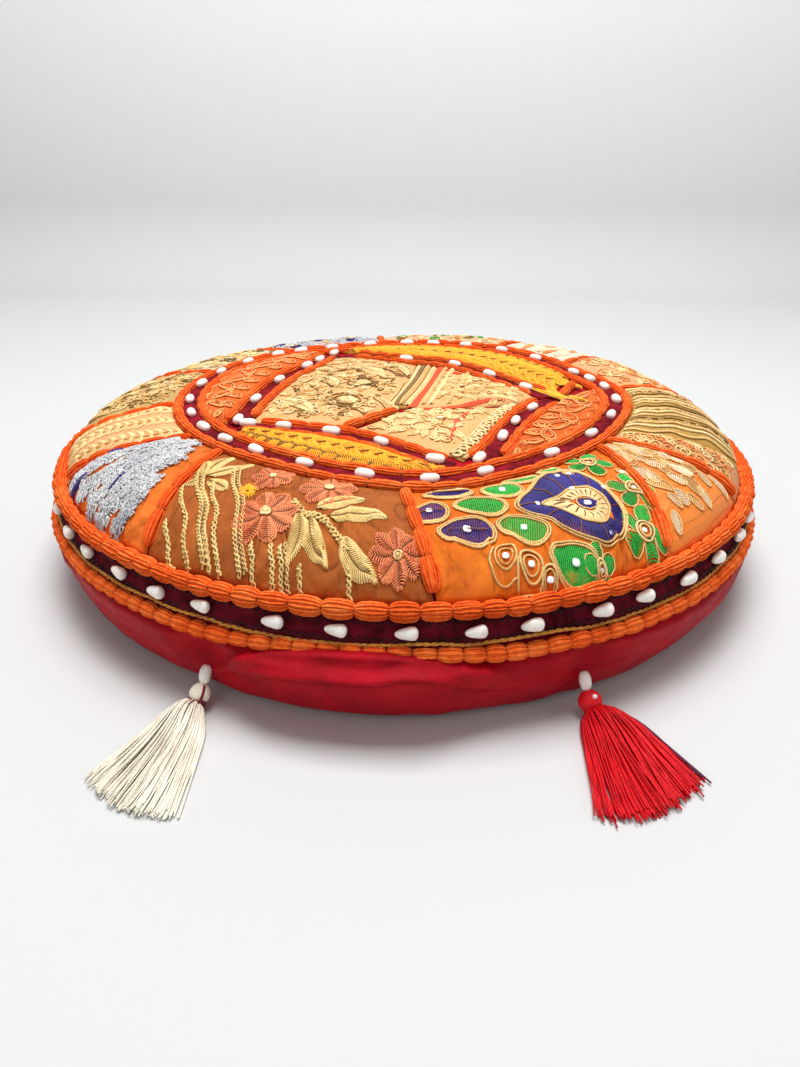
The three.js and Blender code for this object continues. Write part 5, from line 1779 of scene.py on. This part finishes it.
def sew():
    work = Needlework(31)
    sew_floral_rust(work)
    sew_paisley_orange(work)
    sew_blotches(work, "patch_blotch_orange", 4, 8, ("pale", "pale", "gold"), (7, 12), "gold")
    sew_scrolls(work, "patch_scroll_peach", 4, 10, ("gold", "tan", "ivory"), 4.2)
    sew_stripes(work)
    sew_scrolls(work, "patch_peach_cream", 5, 5, ("tan", "ivory"), 6.0, "ivory")
    sew_blotches(work, "patch_cream_right", 5, 5, ("pale", "tan"), (8, 13), None)
    sew_scrolls(work, "patch_green_cream", 6, 5, ("ivory", "olive", "tan", "green"), 5.0, "ivory")
    sew_scrolls(work, "patch_grey_navy", 6, 5, ("silver", "navy", "silver", "ivory"), 5.0, "silver")
    sew_scrolls(work, "patch_pale_olive", 6, 5, ("olive", "ivory", "gold"), 5.5, "ivory")
    sew_scrolls(work, "patch_gold_olive", 8, 6, ("gold", "ivory", "olive"), 5.5, "gold")
    for sewn in (sew_wheat, sew_silver, sew_braids, sew_ovals, sew_centre):
        sewn(work)
    work.finish()


# Tassels

# each skirt lies between two plan lines from its neck to its cut ends
TASSELS = {
    "white": {
        "azimuth": 244.6, "head": 4.4, "cord": "white_cotton", "slot": "white_yarn",
        "tie": "maroon_thread", "seed": 5, "strands": 260,
        "left": ((-92.5, -185.5), (-100.5, -188.5), (-108.8, -205), (-120.7, -226)),
        "right": ((-85.5, -188.5), (-83.6, -193.5), (-81.1, -209), (-82.9, -247)),
    },
    "red": {
        "azimuth": 293.3, "head": 5.0, "cord": "red_silk", "slot": "red_yarn",
        "tie": "red_silk", "seed": 9, "strands": 280,
        "left": ((78.4, -191), (75, -196.5), (73.6, -213), (72.7, -245)),
        "right": ((85.6, -187.5), (92.5, -188), (101.9, -198), (116, -228)),
    },
}


def tassel_points(azimuth):
    """Places of a tassel's bead, head and neck."""
    def at(radius, height):
        return np.append(polar(azimuth, radius), height)
    return at(198.5, 14.9), at(202.4, 6.8), at(206.4, 4.4)


def turned_mesh(name, start, end, profile, sides, ridges=0, depth=0.0):
    """Closed solid turned about a line, with ridges of thread along it."""
    aside = unit(np.cross(end - start, [0, 0, 1.0]))
    over = np.cross(aside, unit(end - start))
    angle = np.linspace(0, 2 * math.pi, sides, endpoint=False)
    sections = []
    for share, radius in profile:
        reach = radius * (1 + depth * np.cos(angle * ridges + share * 2.0))
        round_it = np.outer(reach * np.cos(angle), aside) + np.outer(reach * np.sin(angle), over)
        sections.append(start + (end - start) * share + round_it)
    return tube_mesh(name, np.array(sections))


def rounded(radius, trim, least, power):
    """Profile of a ball or a bead, cut off by a share at both ends."""
    shares = np.linspace(0, 1, 13)
    half = np.sin(np.pi * (trim + (1 - 2 * trim) * shares)) ** power
    return list(zip(shares, radius * np.maximum(least, half)))


def build_tassel(name):
    bead_radius, bead_length, neck_radius, binding, turns, floor = 2.7, 8.4, 3.5, 2.6, 4, 0.7
    tassel = TASSELS[name]
    rng = np.random.default_rng(tassel["seed"])
    bead, head, neck = tassel_points(tassel["azimuth"])
    lean = unit(bead - head)
    ball_end = head + lean * tassel["head"]
    bead_end = ball_end + lean * 0.2
    profile = rounded(bead_radius, 0.05, 0.3, 0.38)
    mesh = turned_mesh("bead", bead_end + lean * bead_length, bead_end, profile, 20)
    finished(link(f"tassel_{name}_bead", mesh), "bead", [f"tassel_bead_{name}"], "milk_glass")
    profile = rounded(tassel["head"], 0.08, 0.35, 0.55)
    profile[-1] = (1.0, 3.0)
    mesh = turned_mesh("head", ball_end, neck, profile, 96, 24, 0.035)
    finished(link(f"tassel_{name}_head", mesh), tassel["slot"], [], tassel["cord"])
    # neck binding, and for the white tassel the loop that hangs it from its bead
    aside = np.append(polar(tassel["azimuth"] + 90, 1.0), 0.0)
    over = np.cross(lean, aside)
    angle = np.linspace(0, 2 * math.pi * turns, 18 * turns)
    wrap = neck + lean * 0.8 + np.outer(np.linspace(-0.5, 0.5, len(angle)) * binding, lean)
    wrap += (np.outer(np.cos(angle), aside) + np.outer(np.sin(angle), over)) * neck_radius
    wrap[:, 2] = np.maximum(wrap[:, 2], floor)
    ties = [thread_line(wrap)]
    if tassel["tie"] != tassel["cord"]:
        s = np.linspace(0.02, 0.98, 12)
        reach = np.interp(s, *zip(*profile)) * 1.06
        side = aside * math.cos(0.75) - over * math.sin(0.75)
        ties.append(thread_line(ball_end + np.outer(s, neck - ball_end) + np.outer(reach, side), 1.1))
    threads(f"tassel_{name}_neck_tie", ties, tassel["tie"], tassel["slot"], 0.6, 6)
    build_skirt(name, tassel, rng, neck)
    if name == "red":
        outward = np.cross(unit(neck - ball_end), aside)
        place = ball_end + (neck - ball_end) * 0.33 + outward * tassel["head"]
        mesh = turned_mesh("dot", place - outward * 0.9, place + outward * 0.9,
                           [(0.0, 0.3), (0.15, 0.85), (0.5, 1.15), (0.85, 0.85), (1.0, 0.3)], 10)
        finished(link("tassel_red_small_bead", mesh), "bead", [], "milk_glass")
        loose = ((1.0, 61), (1.05, 58), (1.02, 49), (-0.04, 60), (-0.02, 40), (0.97, 66))
        lines = [skirt_strand(tassel, rng, neck, share, 0.9, 1.02, length / 60) for share, length in loose]
        threads("tassel_red_dark_strands", lines, "purple_silk", "red_yarn", 0.42, 5)


def skirt_strand(tassel, rng, neck, share, layer, lock, reach=1.0):
    """One strand of a skirt: its share across it, its layer and the lock that it falls into."""
    s = np.linspace(0, 1, 12) ** 1.25
    left, right = (PlanCurve(tassel[side]) for side in ("left", "right"))
    across = (share + (lock - share) * 0.3 * s + rng.normal(0, 0.045) * s)[:, None]
    length = reach * (1 + 0.09 * (1 - (2 * share - 1) ** 2)) * s
    inside, past = np.minimum(length, 1), np.maximum(length - 1, 0)[:, None]
    plan = left.at(inside) * (1 - across) + right.at(inside) * across
    plan += (left.at(1.0) + right.at(1.0) - left.at(0.9) - right.at(0.9)) * 5 * past
    plan[:, 0] += rng.uniform(0.1, 0.5) * np.sin(s * rng.uniform(3, 9) + rng.uniform(0, 6)) * s
    edge = math.sqrt(max(1 - 0.9 * (2 * np.clip(share, 0, 1) - 1) ** 2, 0.06))
    parting = 0.6 * math.exp(-((share - 0.52) / 0.06) ** 2)
    pile = (3.4 + 6.4 * (1 - s) ** 1.4) * edge * (1 - parting * np.clip(s * 4 - 0.8, 0, 1))
    start = neck[2] + 2.4 * (2 * layer - 1) * edge
    blend = np.clip(s / 0.13, 0, 1) ** 0.7
    height = start * (1 - blend) + (0.5 + layer * pile) * blend
    return thread_line(at_height(plan, np.maximum(height, 0.5)), rng.uniform(0.85, 1.15))


def build_skirt(name, tassel, rng, neck):
    """Strands in a few locks, full at the neck and thinner towards the cut ends."""
    lines, locks = [], 7
    for i in range(tassel["strands"]):
        share = (i + rng.uniform(0, 1)) / tassel["strands"]
        lock = (math.floor(share * locks) + 0.5) / locks
        reach = 1 + rng.normal(0, 0.022) + 0.03 * math.sin(lock * 40)
        lines.append(skirt_strand(tassel, rng, neck, share, rng.uniform(0, 1) ** 0.7, lock, reach))
    threads(f"tassel_{name}_skirt", lines, tassel["cord"], tassel["slot"], 0.36, 3, [f"tassel_{name}"])


# Stage

BACKDROP = {"away": 0.8, "bend": 0.12, "reach": 12.0, "top": 6.0}  # metres
# Name, place, what it points at, size and power in watts
LAMPS = (
    ("overhead", (0.0, 0.02, 1.5), (0, 0, 0), 0.8, 27.4),
    ("front_fill", (-0.7, -1.5, 0.9), (0, 0, 0.05), 1.2, 3.9),
    ("right_fill", (1.5, -0.5, 0.8), (0, 0, 0.05), 0.9, 2.5),
)


def build_stage(tone):
    wall, bend, reach = BACKDROP["away"], BACKDROP["bend"], BACKDROP["reach"]
    profile = [(-reach, 0.0), (-1.0, 0.0), (wall, 0.0)]
    for angle in np.linspace(0, math.pi / 2, 24)[1:]:
        profile.append((wall + bend * math.sin(angle), bend * (1 - math.cos(angle))))
    profile.append((wall + bend, BACKDROP["top"]))
    rows = np.array([[(x, y, z) for x in (-reach, 0.0, reach)] for y, z in profile])
    mesh = mesh_of("floor", rows.reshape(-1, 3) / MM, grid_faces(len(rows), 3))
    floor = link("floor", mesh)
    mesh.materials.append(stage_material("floor_paper", tuple(tone)))
    world = bpy.data.worlds.new("studio")
    bpy.context.scene.world = world
    world.use_nodes = True
    background = world.node_tree.nodes["Background"]
    background.inputs["Color"].default_value = (1.0, 1.0, 1.0, 1.0)
    background.inputs["Strength"].default_value = 0.3
    for name, place, target, size, power in LAMPS:
        light = bpy.data.lights.new(name, "AREA")
        light.shape, light.size, light.energy = "SQUARE", size, power
        lamp = link(name, light)
        lamp.location = place
        lamp.rotation_mode = "QUATERNION"
        aim = Vector(target) - Vector(place)
        lamp.rotation_quaternion = aim.to_track_quat("-Z", "Y")


def build_camera():
    """Camera fitted to the photograph; its eye, aim and roll come from the outline."""
    camera = bpy.data.cameras.new("camera")
    camera.sensor_width, camera.lens = 36.0, 26.99
    camera.clip_start, camera.clip_end = 0.01, 50
    holder = link("camera", camera)
    eye, aim, roll = np.array([-1.6, -460.3, 225.6]), np.array([-1.6, 0.0, -6.9]), 0.0098
    forward = unit(aim - eye)
    right = np.array([1.0, 0, 0])
    up = np.cross(right, forward)
    tilted = right * math.cos(roll) + up * math.sin(roll)
    raised = up * math.cos(roll) - right * math.sin(roll)
    holder.location = Vector(eye * MM)
    holder.rotation_mode = "QUATERNION"
    basis = np.column_stack([tilted, raised, -forward])
    holder.rotation_quaternion = Matrix(basis.tolist()).to_quaternion()
    bpy.context.scene.camera = holder
    bpy.context.scene.view_settings.view_transform = "Standard"


# Add-on

class CushionSizes(bpy.types.PropertyGroup):
    wool_strands: IntProperty(
        name="Wool strands", description="Strands of wool in a row of the crown", default=11, min=6)
    wool_strand_radius: FloatProperty(
        name="Strand radius", description="Radius of one strand of wool", default=0.0005,
        unit="LENGTH", precision=5)
    bead_length: FloatProperty(
        name="Bead length", description="Length of a sewn bead", default=0.0094, unit="LENGTH")
    bead_width: FloatProperty(
        name="Bead width", description="Width of a sewn bead", default=0.0051, unit="LENGTH")


class CushionColours(bpy.types.PropertyGroup):
    backdrop: FloatVectorProperty(
        name="Backdrop", description="Colour of the floor and backdrop", subtype="COLOR",
        default=colour(206, 207, 207)[:3])


class CUSHION_OT_stage(bpy.types.Operator):
    """Floor, backdrop, lights and the camera at the photograph's angle"""
    bl_idname = "cushion.stage"
    bl_label = "Stage and camera"

    def execute(self, context):
        build_camera()
        build_stage(context.scene.cushion_colours.backdrop)
        return {"FINISHED"}


class CUSHION_OT_body(bpy.types.Operator):
    """Filled body in red cloth with its gathers and the loose front fold"""
    bl_idname = "cushion.body"
    bl_label = "Red body"

    def execute(self, context):
        build_body()
        return {"FINISHED"}


class CUSHION_OT_patches(bpy.types.Operator):
    """Outer patches, the patches inside the ring and those inside the square"""
    bl_idname = "cushion.patches"
    bl_label = "Patches"

    def execute(self, context):
        build_outer_patches()
        build_segments()
        build_centre()
        return {"FINISHED"}


class CUSHION_OT_wool(bpy.types.Operator):
    """Couched wool rows of the crown and the rim, with their ties"""
    bl_idname = "cushion.wool"
    bl_label = "Wool rows"

    def execute(self, context):
        build_wool(context.scene.cushion_sizes)
        return {"FINISHED"}


class CUSHION_OT_ribbons(bpy.types.Operator):
    """Velvet ribbons, the velvet band, its stitches and the gold cord"""
    bl_idname = "cushion.ribbons"
    bl_label = "Ribbons and band"

    def execute(self, context):
        build_ribbons()
        build_band()
        build_gold_cord()
        build_band_stitches()
        return {"FINISHED"}


class CUSHION_OT_beads(bpy.types.Operator):
    """Milk-white beads on the ribbons and the band"""
    bl_idname = "cushion.beads"
    bl_label = "Beads"

    def execute(self, context):
        build_beads(context.scene.cushion_sizes)
        return {"FINISHED"}


class CUSHION_OT_needlework(bpy.types.Operator):
    """Embroidery and sequins of the patches"""
    bl_idname = "cushion.needlework"
    bl_label = "Embroidery"

    def execute(self, context):
        sew()
        return {"FINISHED"}


class CUSHION_OT_tassels(bpy.types.Operator):
    """White and red tassels on the floor"""
    bl_idname = "cushion.tassels"
    bl_label = "Tassels"

    def execute(self, context):
        for name in TASSELS:
            build_tassel(name)
        return {"FINISHED"}


class CUSHION_PT_panel(bpy.types.Panel):
    """Sizes of the cushion and the steps that dress it"""
    bl_idname = "CUSHION_PT_panel"
    bl_label = "Round cushion"
    bl_space_type = "VIEW_3D"
    bl_region_type = "UI"
    bl_category = "Cushion"

    def draw(self, context):
        for name in ("wool_strands", "wool_strand_radius", "bead_length", "bead_width"):
            self.layout.prop(context.scene.cushion_sizes, name)
        self.layout.prop(context.scene.cushion_colours, "backdrop")
        for operator in OPERATORS:
            self.layout.operator(operator.bl_idname)


OPERATORS = (
    CUSHION_OT_stage, CUSHION_OT_body, CUSHION_OT_patches, CUSHION_OT_wool, CUSHION_OT_ribbons,
    CUSHION_OT_beads, CUSHION_OT_needlework, CUSHION_OT_tassels,
)
CLASSES = (CushionSizes, CushionColours, *OPERATORS, CUSHION_PT_panel)


def register():
    for cls in CLASSES:
        bpy.utils.register_class(cls)
    bpy.types.Scene.cushion_sizes = PointerProperty(type=CushionSizes)
    bpy.types.Scene.cushion_colours = PointerProperty(type=CushionColours)


def unregister():
    del bpy.types.Scene.cushion_sizes
    del bpy.types.Scene.cushion_colours
    for cls in reversed(CLASSES):
        bpy.utils.unregister_class(cls)


def main():
    register()
    for operator in OPERATORS:
        group, name = operator.bl_idname.split(".")
        getattr(getattr(bpy.ops, group), name)()


if __name__ == "__main__":
    main()
